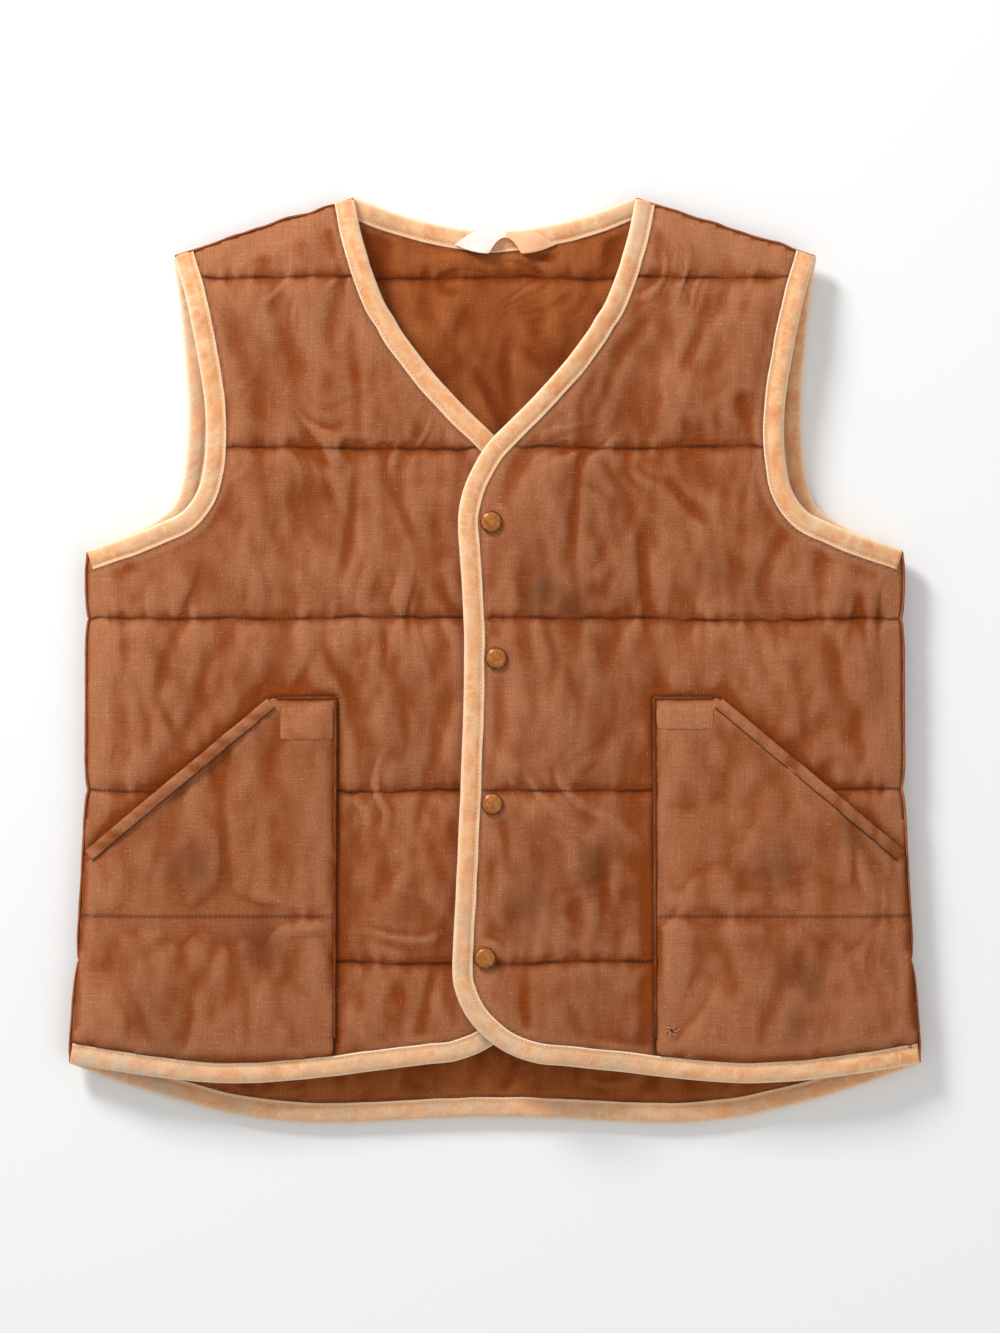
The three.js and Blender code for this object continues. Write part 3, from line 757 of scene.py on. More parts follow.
def cloth_folds(x, y, near_quilting, seed):
    """Height of the soft folds: puckers from the stitching and longer slanting creases."""
    lean = 0.5 * ripple(x, y, 70 * MM, 50 * MM, seed + 70)
    puckers = ripple(x + lean * y, y, 15 * MM, 90 * MM, seed)
    shown = sometimes(ripple(x, y, 34 * MM, 34 * MM, seed + 5), -0.3, 0.35)
    beside = np.exp(-near_quilting / (20 * MM))
    height = 2.6 * MM * (puckers - 0.8 * furrow(puckers, 0.26)) * shown * beside
    short = ripple(x, y, 6 * MM, 40 * MM, seed + 9)
    height += 1.5 * MM * short * np.exp(-near_quilting / (6 * MM))
    for turn, number, wide in ((0.5, 11, 44), (-0.42, 17, 48), (0.08, 23, 36), (-0.15, 31, 40)):
        across = x * math.cos(turn) + y * math.sin(turn)
        along = y * math.cos(turn) - x * math.sin(turn)
        crease = ripple(across, along, wide * MM, 150 * MM, seed + number)
        shown = sometimes(ripple(x, y, 60 * MM, 66 * MM, seed + number + 3), -0.1, 0.5)
        height += 2.1 * MM * (0.5 * crease - furrow(crease, 0.17)) * shown
    height += 1.2 * MM * ripple(x, y, 20 * MM, 50 * MM, seed + 40)
    height += 0.5 * MM * ripple(x, y, 8 * MM, 16 * MM, seed + 47)
    return height


def lows_of(piece, heights):
    """How much painted shade each point takes: 0 on the cloth's crowns and 1 in its hollows, softly."""
    deep = (neighbour_mean(piece, heights, 30) - heights) / (0.55 * MM)
    return 0.45 + 0.45 * np.tanh(deep)


STAINS = (  # x, y, radius in mm and strength
    (32, 46, 13, 0.5), (53, 37, 10, 0.45), (-204, -141, 16, 0.45), (-161, -194, 16, 0.4),
    (195, -141, 15, 0.45), (213, -219, 17, 0.45), (204, -246, 12, 0.4), (21, -167, 20, 0.4),
    (71, -141, 12, 0.4), (150, 60, 12, 0.2), (-60, -60, 18, 0.2), (245, -120, 14, 0.3),
    (100, -258, 11, 0.3), (-230, -250, 20, 0.2), (-14, 200, 22, 0.2), (20, 190, 18, 0.2),
)


def blotted(x, y, blots, least, edge=1.0):
    """The strongest of some soft round blots at each point."""
    total = 0 * x + least
    for sx, sy, radius, strength in blots:
        away = np.hypot(x - sx * MM, y - sy * MM) / (radius * MM * edge)
        total = np.maximum(total, strength * np.exp(-away**2))
    return total


def stained(x, y):
    edge = 1 + 0.7 * ripple(x, y, 9 * MM, 9 * MM, 71.5)
    return blotted(x, y, STAINS, 0, np.clip(edge, 0.4, 2))


SOILED = (  # x, y, radius in mm and strength
    (88, 300, 26, 1.0), (-18, -190, 45, 0.9), (2, -256, 40, 0.9), (-250, -284, 110, 0.95),
    (90, -292, 70, 0.7), (200, -290, 60, 0.6), (-92, 300, 16, 0.5), (236, 95, 36, 0.5),
    (-236, 120, 45, 0.8), (0, -316, 160, 0.75), (-15, 20, 40, 0.4), (-120, -300, 80, 0.6),
)


def soiled(x, y, least):
    return blotted(x, y, SOILED, least) * (0.6 + 0.6 * ripple(x, y, 11 * MM, 11 * MM, 44.4))


def quilt_wander(x, y):
    """How far the sewn lines stray up or down, slowly and from pucker to pucker."""
    slow = 2.4 * MM * ripple(x, y, 80 * MM, 60 * MM, 12.3)
    return slow + 1.1 * MM * ripple(x, y, 10 * MM, 60 * MM, 18.3)


def shoulder_wave(x, y, to_seam, to_tape):
    """How far the cloth stands out past the shoulder seam or falls short of it."""
    wave = 1.5 * MM * ripple(x, 0 * x, 17 * MM, 1, 77.3) + 0.5 * MM
    shown = np.exp(-to_seam / (10 * MM)) * ease((to_tape - 9 * MM) / (16 * MM))
    return np.where(y > 0.2, wave * shown, 0)


# ---- the quilted panels --------------------------------------------------------------


def half_thickness(to_tape, to_seam, y, to_snap):
    """Half the panel's thickness before the cloth moves: full in the channels, thin where sewn."""
    behind_tape = np.clip((to_tape + EDGE_OUT - TAPE_GRIP) / SWELL_RUN, 0, 1)
    fill = np.minimum(behind_tape, np.minimum(from_quilting(y), to_seam) / SWELL_RUN)
    half = HALF_SEAM + (HALF_CROWN - HALF_SEAM) * swell(fill)
    half = np.where(to_tape + EDGE_OUT < TAPE_GRIP, HALF_TAPE * ease(to_tape / (3 * MM)), half)
    return np.where(to_snap < SNAP_DIMPLE, np.minimum(half, HALF_SNAP), half)


def upper_side(piece):
    """1 for each point on the upper layer and -1 for each on the lower one."""
    normals = np.empty(3 * len(piece.data.vertices), np.float32)
    piece.data.update()
    piece.data.vertex_normals.foreach_get("vector", normals)
    return np.where(normals.reshape(-1, 3)[:, 2] > 0, 1.0, -1.0)


def gap_to(lines, names, x, y):
    return distance_to([lines[n] for n in names], x, y)


def quilted_panel(name, lines, tapes, seams, order, mid_at, snaps, seed, sewn=(), calm=None):
    """A quilted pad. Tapes and seams name the lines that hold its edge, and sewn are more lines
    that it is stitched down along."""
    outline = joined(lines, order)
    plan, quads, rim = plan_grid(outline, [lines[edge][0] for edge in order])

    def gaps(x, y):
        to_seam = gap_to(lines, seams, x, y)
        if sewn:
            to_seam = np.minimum(to_seam, distance_to(sewn, x, y))
        to_snap = distance_to([np.array(snaps)], x, y) if snaps else np.full(len(x), 1.0)
        return gap_to(lines, tapes, x, y), to_seam, to_snap

    x, y = plan.T
    to_tape, to_seam, to_snap = gaps(x, y)
    half = half_thickness(to_tape, to_seam, y, to_snap)
    mid = mid_at(x, y) + 0.5 * MM * ripple(x, y, 14 * MM, 40 * MM, seed)
    piece, flat = closed_pad(name, plan, quads, rim, mid, half)
    x, y = flat.T
    to_tape, to_seam, to_snap = gaps(x, y)
    held = (to_tape + EDGE_OUT < TAPE_GRIP) | (to_seam < CELL) | (to_snap < SNAP_DIMPLE)
    held |= from_quilting(y) < 0.3 * CELL
    if calm is not None:
        held |= is_inside(flat, calm)
    settle(piece, held, cap=4 * MM, growth=0.06, pressure=3, frames=SIM_FRAMES)
    apply_modifier(piece, "SUBSURF", levels=1, render_levels=1)
    put_coordinates(piece, drawn_to(outline, coordinates(piece), get_number(piece, "rim") > 0.99))
    fold_and_mark(piece, gaps, seed, calm)
    return shaded_smooth(piece)


def fold_and_mark(piece, gaps, seed, calm):
    """Adds the fine folds, lets the seams wander and stores what the cloth's colour follows: painted shade
    in the hollows, dark quilting lines with painted crease shade, a painted contact shadow along the tapes,
    and the stains.
    """
    points = coordinates(piece)
    x, y, z = points.T
    to_tape, to_seam, to_snap = gaps(x, y)
    free = ease((to_tape + EDGE_OUT - TAPE_GRIP) / (9 * MM)) * ease(to_seam / (10 * MM))
    free *= ease((to_snap - SNAP_DIMPLE) / (8 * MM))
    if calm is not None:
        free = np.where(is_inside(points[:, :2], calm), 0, free)
    side = upper_side(piece)
    near = from_quilting(y)
    upper = cloth_folds(x, y, near, seed)
    lower = cloth_folds(x, y, near, seed + 60)
    height = np.where(side > 0, upper, lower) * free
    deepest = 0.75 * half_thickness(to_tape, to_seam, y, to_snap)
    height = np.where(height < 0, deepest * np.tanh(height / deepest), height)
    points[:, 2] = z + side * height
    points[:, 1] = y + quilt_wander(x, y) * free + shoulder_wave(x, y, to_seam, to_tape)
    points[:, 2] = np.maximum(points[:, 2], TABLE_Z)
    put_coordinates(piece, points)
    # painted shade, deepest in the hollows of the folds
    put_number(piece, "painted_shade", lows_of(piece, side * points[:, 2]))
    # darkening towards the seam brown: the quilting lines with their painted crease shade, and a painted
    # contact shadow along the tapes
    strong = 0.5 + 0.45 * sometimes(ripple(x, y, 22 * MM, 9, seed), -0.3, 0.3)
    tape_contact_shadow = 0.5 * furrow(to_tape + EDGE_OUT - TAPE_GRIP, 1.1 * MM)
    put_number(piece, "seam", np.clip(np.maximum(strong * furrow(near, 1.0 * MM), tape_contact_shadow), 0, 1))
    put_number(piece, "stain", np.where(side > 0, stained(x, y), 0))


def with_lining(piece, lined_side):
    """Gives one side of a panel the shell cloth and the other the lining."""
    piece.data.materials.append(SHELL)
    piece.data.materials.append(LINING)
    normals = np.empty(3 * len(piece.data.polygons), np.float32)
    piece.data.polygons.foreach_get("normal", normals)
    lined = normals.reshape(-1, 3)[:, 2] * lined_side > 0
    piece.data.polygons.foreach_set("material_index", lined.astype(np.int32))


FRONT_TAPES = ("front", "arm")
FRONT_SEAMS = ("side", "shoulder")
FRONT_ORDER = {LEFT: ("side", "arm", "shoulder", "front"), RIGHT: ("side", "front", "shoulder", "arm")}


def bend_with_flap(piece, side):
    start, end = FOLD_BAND
    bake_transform(piece, "root", f"{SIDE_NAME[side]}_flap", (side * start, 0, 0), (side * end, 0, 0))


def make_front(side):
    name = SIDE_NAME[side]
    pocket = POCKET[side]
    piece = quilted_panel(
        f"{name}_front", FRONT[side], FRONT_TAPES, FRONT_SEAMS, FRONT_ORDER[side],
        lambda x, y: front_mid(x, y, side), SNAP_XY, 3.1 + side, [pocket["inner"], pocket["top"]],
        pocket["plan"],
    )
    x, y = coordinates(piece)[:, :2].T
    to_mouth = distance_to([pocket["mouth"]], x, y)
    to_sewn = distance_to([pocket["inner"], pocket["top"]], x, y)
    # painted shade on the front along the pocket's mouth and its sewn edges
    pocket_edge_shade = 0.7 * furrow(to_mouth, 9 * MM) + 0.5 * furrow(to_sewn, 6 * MM)
    put_number(piece, "painted_shade", np.clip(get_number(piece, "painted_shade") + pocket_edge_shade, 0, 1))
    # painted shadow lines along the pocket's mouth and its sewn edges
    dark = np.maximum(0.6 * furrow(to_mouth, 2.6 * MM), 0.85 * furrow(to_sewn, 2.0 * MM))
    put_number(piece, "seam", np.maximum(get_number(piece, "seam"), dark))
    with_lining(piece, -1)
    parts = [f"{name}_{part}_{layer}" for part in ("side", "flap") for layer in ("shell", "fill", "lining")]
    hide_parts(*parts)
    bend_with_flap(piece, side)
    return piece


BACK_ORDER = ("hem", "left_side", "left_arm", "left_shoulder", "neck", "right_shoulder", "right_arm",
              "right_side")
BACK_TAPES = ("hem", "left_arm", "neck", "right_arm")
BACK_SEAMS = ("left_side", "right_side", "left_shoulder", "right_shoulder")


def make_back():
    piece = quilted_panel("back", BACK, BACK_TAPES, BACK_SEAMS, BACK_ORDER, back_mid, [], 7.7)
    with_lining(piece, 1)
    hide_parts("back_shell", "back_fill", "back_lining")
    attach(piece, "root")
    return piece


# ---- stitching -----------------------------------------------------------------------

STITCH_SIDES = 5
THREAD_RISE = 0.1 * MM  # a row of stitches lies this far off the cloth
ROW_FROM_TAPE = 14.5 * MM  # a quilting row stops this far from a tape's line
ROW_FROM_SEAM = 2 * MM


def thread_row(points, length, gap, radius):
    """Separate stitches along a line, as points and faces: each a small spindle."""
    step = np.linalg.norm(np.diff(points, axis=0), axis=1)
    run = np.concatenate([[0], np.cumsum(step)])
    starts = np.arange(0.5 * gap, run[-1] - length, length + gap)

    def place_at(s):
        return np.array([np.interp(s, run, points[:, k]) for k in range(3)])

    verts, faces = [], []
    for s in starts:
        a, b = place_at(s), place_at(s + length)
        along = (b - a) / max(np.linalg.norm(b - a), 1e-9)
        across = np.array([-along[1], along[0], 0])
        across /= max(np.linalg.norm(across), 1e-9)
        up = np.cross(along, across)
        first = len(verts)
        verts.append(a - up * radius)
        for share in (0.25, 0.75):
            centre = a + (b - a) * share
            for k in range(STITCH_SIDES):
                turn = 2 * math.pi * k / STITCH_SIDES
                verts.append(centre + radius * (math.cos(turn) * across + math.sin(turn) * up))
        verts.append(b - up * radius)
        near, far, end = (first + 1 + STITCH_SIDES * ring for ring in range(3))
        for k in range(STITCH_SIDES):
            n = (k + 1) % STITCH_SIDES
            faces.append((first, near + n, near + k))
            faces.append((near + k, near + n, far + n, far + k))
            faces.append((far + k, far + n, end))
    return verts, faces


def stitched(name, rows, material, length=2.3 * MM, gap=0.9 * MM, radius=0.26 * MM):
    """One piece of all the stitches along several lines."""
    verts, faces = [], []
    for row in rows:
        if len(row) < 2:
            continue
        more, over = thread_row(np.asarray(row), length, gap, radius)
        faces += [tuple(i + len(verts) for i in face) for face in over]
        verts += more
    piece = new_piece(name, verts, faces, material)
    faced_out(piece)
    return shaded_smooth(piece)


def surface_tree(piece):
    return BVHTree.FromPolygons(
        [tuple(p) for p in coordinates(piece)], [tuple(f.vertices) for f in piece.data.polygons]
    )


def on_surface(tree, x, y, down=True):
    """Height of the first face met from above, or from below, or None."""
    start = Vector((x, y, 0.2 if down else -0.2))
    hit = tree.ray_cast(start, Vector((0, 0, -1 if down else 1)))[0]
    return None if hit is None else hit.z


def heights_on(tree, x, y, otherwise):
    """The surface's height at each point, or the other height where it has none."""
    found = [on_surface(tree, a, b) for a, b in zip(x, y)]
    return np.array([b if a is None else a for a, b in zip(found, otherwise)])


def quilting_rows(piece, lines, tapes, seams, down, skip=None):
    """The sewn lines across a panel, laid on its surface."""
    tree = surface_tree(piece)
    points = coordinates(piece)
    low, high = points.min(0), points.max(0)
    rows = []
    first = math.ceil((low[1] - QUILT_BASE) / QUILT_PITCH)
    last = math.floor((high[1] - QUILT_BASE) / QUILT_PITCH)
    for number in range(first, last + 1):
        x = np.arange(low[0], high[0], 2 * MM)
        y = np.full(len(x), QUILT_BASE + number * QUILT_PITCH)
        clear = gap_to(lines, tapes, x, y) > ROW_FROM_TAPE
        clear &= gap_to(lines, seams, x, y) > ROW_FROM_SEAM
        if skip is not None:
            clear &= ~is_inside(np.column_stack([x, y]), skip)
        y = y + quilt_wander(x, y)
        run = []
        for px, py, good in zip(x, y, clear):
            z = on_surface(tree, px, py, down) if good else None
            if z is None:
                rows.append(run)
                run = []
            else:
                run.append((px, py, z + THREAD_RISE if down else z - THREAD_RISE))
        rows.append(run)
    return rows


# ---- tapes ---------------------------------------------------------------------------

# Half of a folded tape's section, from its inner lip over the top to the folded edge: the
# distance in from that edge and the height over the panel's middle.
TAPE_SECTION = [
    (14.0, 1.3), (14.15, 1.9), (13.8, 2.3), (13.0, 2.3), (12.3, 2.05), (11.8, 1.9), (11.2, 2.1),
    (10.2, 2.55), (8.6, 2.9), (6.4, 3.1), (4.2, 3.05), (2.3, 2.7), (1.0, 2.0), (0.25, 1.1), (0.0, 0.35),
]


class Strip:
    """A closed strip that follows a line. Its points are worked out first, so that they can be
    pushed about, and then made into a piece: along is the run, inward the distance to the left of
    the line and height the rise over a surface."""

    def __init__(self, line, section):
        self.rows, self.round = len(line), len(section)
        toward = inward(line)
        run = np.concatenate([[0], np.cumsum(np.hypot(*np.diff(line, axis=0).T))])
        self.along = np.repeat(run, self.round)
        self.length = run[-1]
        self.inward = np.tile(section[:, 0], self.rows)
        self.height = np.tile(section[:, 1], self.rows)
        self.line = np.repeat(line, self.round, 0)
        self.toward = np.repeat(toward, self.round, 0)

    def plan(self):
        return (self.line + self.toward * self.inward[:, None]).T

    def piece(self, name, surface, material):
        x, y = self.plan()
        z = np.maximum(surface(x, y) + self.height, TABLE_Z)
        m, last = self.round, (self.rows - 1) * self.round
        faces = [tuple(range(m))[::-1], tuple(last + j for j in range(m))]
        for i in range(0, last, m):
            for j in range(m):
                k = (j + 1) % m
                faces.append((i + j, i + k, i + m + k, i + m + j))
        made = new_piece(name, np.column_stack([x, y, z]), faces, material)
        under = 0.05 * (self.height < 0)
        put_cloth_uv(made, np.column_stack([self.along, self.inward + under]))
        faced_out(made)
        return shaded_smooth(made)


def faced_out(piece):
    bm = bmesh.new()
    bm.from_mesh(piece.data)
    bmesh.ops.recalc_face_normals(bm, faces=bm.faces)
    bm.to_mesh(piece.data)
    bm.free()


def tape_taper(from_end):
    """The share of its full height that a tape keeps towards its ends."""
    return 0.62 + 0.38 * ease(from_end / (16 * MM))


def bound_edge(name, line, mid_at, seed, soil):
    """A tape folded over the edge along a line, with the puckers its stitching draws in."""
    half = np.array(TAPE_SECTION) * MM
    tape = Strip(moved_in(line, -EDGE_OUT), np.vstack([half, half[::-1] * (1, -1)]))
    s, u = tape.along, tape.inward
    sign = np.sign(tape.height)
    slant = s + 0.8 * u * math.copysign(1, math.sin(seed))
    puffed = np.sin(np.clip(u / STITCH_IN, 0, 1) * math.pi)
    ends = np.minimum(s, tape.length - s)
    tape.height *= tape_taper(ends)
    tape.height += sign * puffed * 0.55 * MM * ripple(slant, u, 5.5 * MM, 30 * MM, seed)
    tape.height += sign * puffed * 0.4 * MM * ripple(slant, u, 13 * MM, 30 * MM, seed + 3)
    wave = 0.6 * MM * ripple(s, 0 * s, 19 * MM, 1, seed + 9)
    tape.inward = u + wave * (0.35 + 0.65 * ease(u / TAPE_WIDTH))
    piece = tape.piece(name, mid_at, TAPE_CLOTH)
    x, y = tape.plan()
    # painted shade along the stitching and a painted highlight along the lip and the fold
    put_number(piece, "stitch_groove_shade", furrow(u - 11.6 * MM, 0.9 * MM))
    put_number(piece, "edge", 0.9 * furrow(u - 13.9 * MM, 0.9 * MM) + 0.75 * furrow(u, 1.7 * MM))
    put_number(piece, "soil", np.clip(soiled(x, y, soil), 0, 1))
    return piece


def tape_stitches(name, line, mid_at):
    """The row of stitches that holds a tape, on its upper and under sides."""
    x, y = moved_in(line, STITCH_IN - EDGE_OUT).T
    n = len(line)
    ends = np.minimum(np.arange(n), np.arange(n)[::-1]) * 2 * MM
    rise = tape_taper(ends) * 2.05 * MM
    rows = [
        np.column_stack([x, y, np.maximum(mid_at(x, y) + sign * rise, TABLE_Z)])[1:-1]
        for sign in (1, -1)
    ]
    return stitched(name, rows, CREAM_THREAD, gap=0.6 * MM, radius=0.2 * MM)


def make_tapes():
    for name, edge, nodes, seed, soil in (
        ("back_neck_tape", "neck", ["back_neck_binding"], 2.2, 0.15),
        ("back_hem_tape", "hem", ["back_hem_binding"], 4.4, 0.3),
        ("left_back_arm_tape", "left_arm", ["left_back_armhole_binding"], 5.1, 0.1),
        ("right_back_arm_tape", "right_arm", ["right_back_armhole_binding"], 6.3, 0.9),
    ):
        line = BACK[edge]
        piece = bound_edge(name, line, back_mid, seed, soil)
        threads = tape_stitches(f"{name}_stitches", line, back_mid)
        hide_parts(*nodes)
        for part in (piece, threads):
            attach(part, "root")
    for side in (LEFT, RIGHT):
        name = SIDE_NAME[side]

        def mid_at(x, y, side=side):
            return front_mid(x, y, side)

        arm = bound_edge(f"{name}_front_arm_tape", FRONT[side]["arm"], mid_at, 8.2 + side, 0.1)
        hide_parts(f"{name}_front_armhole_binding")
        threads = tape_stitches(f"{name}_front_arm_stitches", FRONT[side]["arm"], mid_at)
        for part in (arm, threads):
            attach(part, "root")
        edge = bound_edge(f"{name}_front_tape", FRONT[side]["front"], mid_at, 11.4 + side, 0.15)
        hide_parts(f"{name}_neck_binding", f"{name}_flap_binding", f"{name}_hem_binding")
        threads = tape_stitches(f"{name}_front_stitches", FRONT[side]["front"], mid_at)
        for part in (edge, threads):
            bend_with_flap(part, side)


# ---- side and shoulder seams ---------------------------------------------------------


def round_section(across, up, count=10):
    """An oval section, as the strips take it."""
    turn = np.arange(count) * 2 * math.pi / count
    return np.column_stack([across * np.cos(turn), up * np.sin(turn)])


def plain_marks(piece, painted_shade, seam=0.0):
    """The numbers that the shell cloth reads, on a piece that needs little of them: an even painted shade
    with a little noise, an even darkening towards the seam brown, and the stains.
    """
    x, y = coordinates(piece)[:, :2].T
    put_number(piece, "painted_shade", painted_shade + 0.3 * ripple(x, y, 8 * MM, 8 * MM, 3.9))
    put_number(piece, "seam", 0 * x + seam)
    put_number(piece, "stain", stained(x, y))


def seam_roll(name, line, node):
    """The narrow ridge where back and front are sewn together."""
    roll = Strip(line, round_section(1.1 * MM, 3.4 * MM))
    size = 1 + 0.2 * ripple(roll.along, roll.height, 7 * MM, 9, 3.3)
    roll.inward *= size
    roll.height *= size
    piece = roll.piece(name, lambda x, y: SEAM_MID + 0 * x, SHELL)
    points = coordinates(piece)
    x, y = points[:, :2].T
    points[:, 1] += shoulder_wave(x, y, 0 * x, gap_to(BACK, BACK_TAPES, x, y))
    put_coordinates(piece, points)
    # an even painted shade over the roll
    plain_marks(piece, 0.35)
    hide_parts(node)
    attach(piece, "root")


def make_seams():
    for side in (LEFT, RIGHT):
        name = SIDE_NAME[side]
        seam_roll(f"{name}_side_roll", BACK[f"{name}_side"], f"{name}_side_seam")
        seam_roll(f"{name}_shoulder_roll", BACK[f"{name}_shoulder"], f"{name}_shoulder_seam")


# ---- pockets -------------------------------------------------------------------------


def read_pocket():
    """The left pocket's lines: inner edge, hem, side, mouth and top, anticlockwise."""
    whole = plate_outline("left_pocket_panel")
    low, high = whole.min(0), whole.max(0)
    top_inner = np.array([low[0], high[1]])
    hem_inner = low.copy()
    on_top = whole[whole[:, 1] > high[1] - 0.5 * MM]
    mouth_top = on_top[np.argmax(on_top[:, 0])]
    rest = whole[whole[:, 1] < mouth_top[1] - 20 * MM]
    far = rest[rest[:, 0] > high[0] - 16 * MM]
    mouth_side = far[np.argmax(far[:, 1])]
    hem_side = far[np.argmin(far[:, 1])]
    corners = {"inner": top_inner, "hem": hem_inner, "side": hem_side, "mouth": mouth_side,
               "top": mouth_top}
    names = list(corners)
    lines = {}
    for name, after in zip(names, names[1:] + names[:1]):
        lines[name] = smooth_line(between(whole, corners[name], corners[after]))
    return lines


def pocket_lines(side):
    left = read_pocket()
    lines = left if side == LEFT else {name: flipped(line) for name, line in left.items()}
    order = POCKET_ORDER[side]
    return {**lines, "plan": joined(lines, order)}


POCKET_ORDER = {
    LEFT: ("inner", "hem", "side", "mouth", "top"),
    RIGHT: ("inner", "top", "mouth", "side", "hem"),
}
POCKET = {side: pocket_lines(side) for side in (LEFT, RIGHT)}


def walled_sheet(name, plan, quads, low, high, material):
    """A closed sheet of cloth between two heights, with an upright wall round its edge."""
    n = len(plan)
    edges = [edge for quad in quads for edge in zip(quad, quad[1:] + quad[:1])]
    known = set(edges)
    rim = [(a, b) for a, b in edges if (b, a) not in known]
    faces = quads + [tuple(n + i for i in quad[::-1]) for quad in quads]
    faces += [(b, a, n + a, n + b) for a, b in rim]
    points = np.vstack([np.column_stack([plan, high]), np.column_stack([plan, low])])
    piece = new_piece(name, points, faces, material)
    put_cloth_uv(piece, np.vstack([plan, plan]))
    return piece


def pocket_height(x, y, side, lines):
    """Height of the pocket cloth's middle."""
    sewn = distance_to([lines[n] for n in ("inner", "hem", "side", "top")], x, y)
    rise = 1.8 * MM + 4.6 * MM * swell(sewn / (24 * MM))
    mouth = distance_to([lines["mouth"]], x, y)
    rise += 1.8 * MM * np.exp(-mouth / (16 * MM)) * ease(sewn / (30 * MM))
    dip = 1.3 * MM * furrow(y - POCKET_QUILT, 6 * MM) * ease(sewn / (10 * MM))
    return front_mid(x, y, side) + rise - dip


WORN_SPOT = (121 * MM, -253 * MM)


def loose_ends(tree):
    """The short broken threads round the frayed spot on the left pocket."""
    rows = []
    for k in range(13):
        turn = 2 * math.pi * k / 13 + 0.4 * math.sin(3 * k)
        reach = (1.9 + 2.6 * math.sin(5 * k) ** 2) * MM
        row = []
        for share in (1.2, 0.9, 0.6, 0.3):
            x = WORN_SPOT[0] + reach * share * math.cos(turn + 0.7 * share)
            y = WORN_SPOT[1] + reach * share * math.sin(turn + 0.7 * share)
            row.append((x, y, on_surface(tree, x, y) + (0.1 + 0.5 * share * (1.2 - share)) * MM))
        rows.append(row)
    piece = stitched("left_pocket_fray", rows, CREAM_THREAD, length=1.1 * MM, gap=0.0, radius=0.16 * MM)
    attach(piece, "root")
    return piece


def make_pocket(side, front):
    name = SIDE_NAME[side]
    lines = POCKET[side]
    plan, quads, _ = plan_grid(lines["plan"], [lines[n][0] for n in POCKET_ORDER[side]])
    x, y = plan.T
    mid = pocket_height(x, y, side, lines)
    piece = walled_sheet(f"{name}_pocket", plan, quads, mid - POCKET_HALF, mid + POCKET_HALF, SHELL)
    apply_modifier(piece, "SUBSURF", levels=1, render_levels=1)
    points = coordinates(piece)
    x, y, z = points.T
    sewn = distance_to([lines[n] for n in ("inner", "hem", "side", "top")], x, y)
    free = ease(sewn / (12 * MM))
    near = np.abs(y - POCKET_QUILT)
    folds = cloth_folds(x, y, near, 90.5 + side) * 0.8
    points[:, 2] = z + folds * free
    top = upper_side(piece)
    under = surface_tree(front)
    least = heights_on(under, x, y, 0 * x) + np.where(top > 0, 1.6, 0.2) * MM
    points[:, 2] = np.maximum(points[:, 2], least)
    put_coordinates(piece, points)
    # painted shade in the pocket's hollows
    put_number(piece, "painted_shade", lows_of(piece, points[:, 2]))
    # darkening of the pocket's quilting line with painted crease shade, and of the frayed hole
    wear_and_shade = furrow(np.hypot(x - WORN_SPOT[0], y - WORN_SPOT[1]), 2.6 * MM)
    put_number(piece, "seam", np.maximum(0.7 * furrow(near, 1.0 * MM), 0.9 * wear_and_shade))
    put_number(piece, "stain", np.where(top > 0, stained(x, y), 0))
    shaded_smooth(piece)
    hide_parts(f"{name}_pocket_panel")
    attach(piece, "root")
    tree = surface_tree(piece)

    def middle(x, y):
        plain = pocket_height(x, y, side, lines)
        return np.maximum(heights_on(tree, x, y, plain) - POCKET_HALF, plain)

    trim = make_trim(side, lines, middle)
    patch = make_patch(side, lines, tree)
    welt = make_welt(side, lines, middle)
    ends = sorted((lines["inner"][0][0] + side * 3 * MM, lines["side"][0][0] - side * 6 * MM))
    xs = np.arange(*ends, 2 * MM)
    heights = [on_surface(tree, a, POCKET_QUILT) for a in xs]
    row = [(a, POCKET_QUILT, z + THREAD_RISE) for a, z in zip(xs, heights) if z is not None]
    threads = stitched(f"{name}_pocket_stitches", [row], BROWN_THREAD)
    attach(threads, "root")
    if side == LEFT:
        loose_ends(tree)


def make_welt(side, lines, middle):
    """The turned edge down the pocket's inner side and across its top, which stands up as a ridge."""
    order = ("top", "inner") if side == LEFT else ("inner", "top")
    line = np.vstack([lines[order[0]][:-1], lines[order[1]]])
    line = line[2:-6] if side == LEFT else line[6:-2]
    welt = Strip(smooth_line(line), round_section(1.0 * MM, 1.3 * MM, 12))
    size = 1 + 0.25 * ripple(welt.along, welt.height, 9 * MM, 9, 6.1)
    welt.inward = welt.inward * size + 0.2 * MM * ripple(welt.along, 0 * welt.along, 24 * MM, 1, 4.2)
    welt.height = welt.height * size + 0.9 * MM
    piece = welt.piece(f"{SIDE_NAME[side]}_pocket_welt", middle, SHELL)
    # painted shade and an even painted shadow darkening over the whole welt
    plain_marks(piece, 0.7, 0.35)
    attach(piece, "root")
    return piece


# The folded strip's whole section, in the same measures as the tape's.
STRIP_SECTION = [
    (8.5, 0.75), (8.6, 1.1), (8.2, 1.35), (7.4, 1.15), (6.0, 1.5), (3.8, 1.7), (1.8, 1.5), (0.6, 1.1),
    (0.0, 0.3), (0.0, -0.4), (0.6, -1.0), (2.0, -1.3), (5.0, -1.4), (8.0, -1.3), (8.5, -0.9),
]


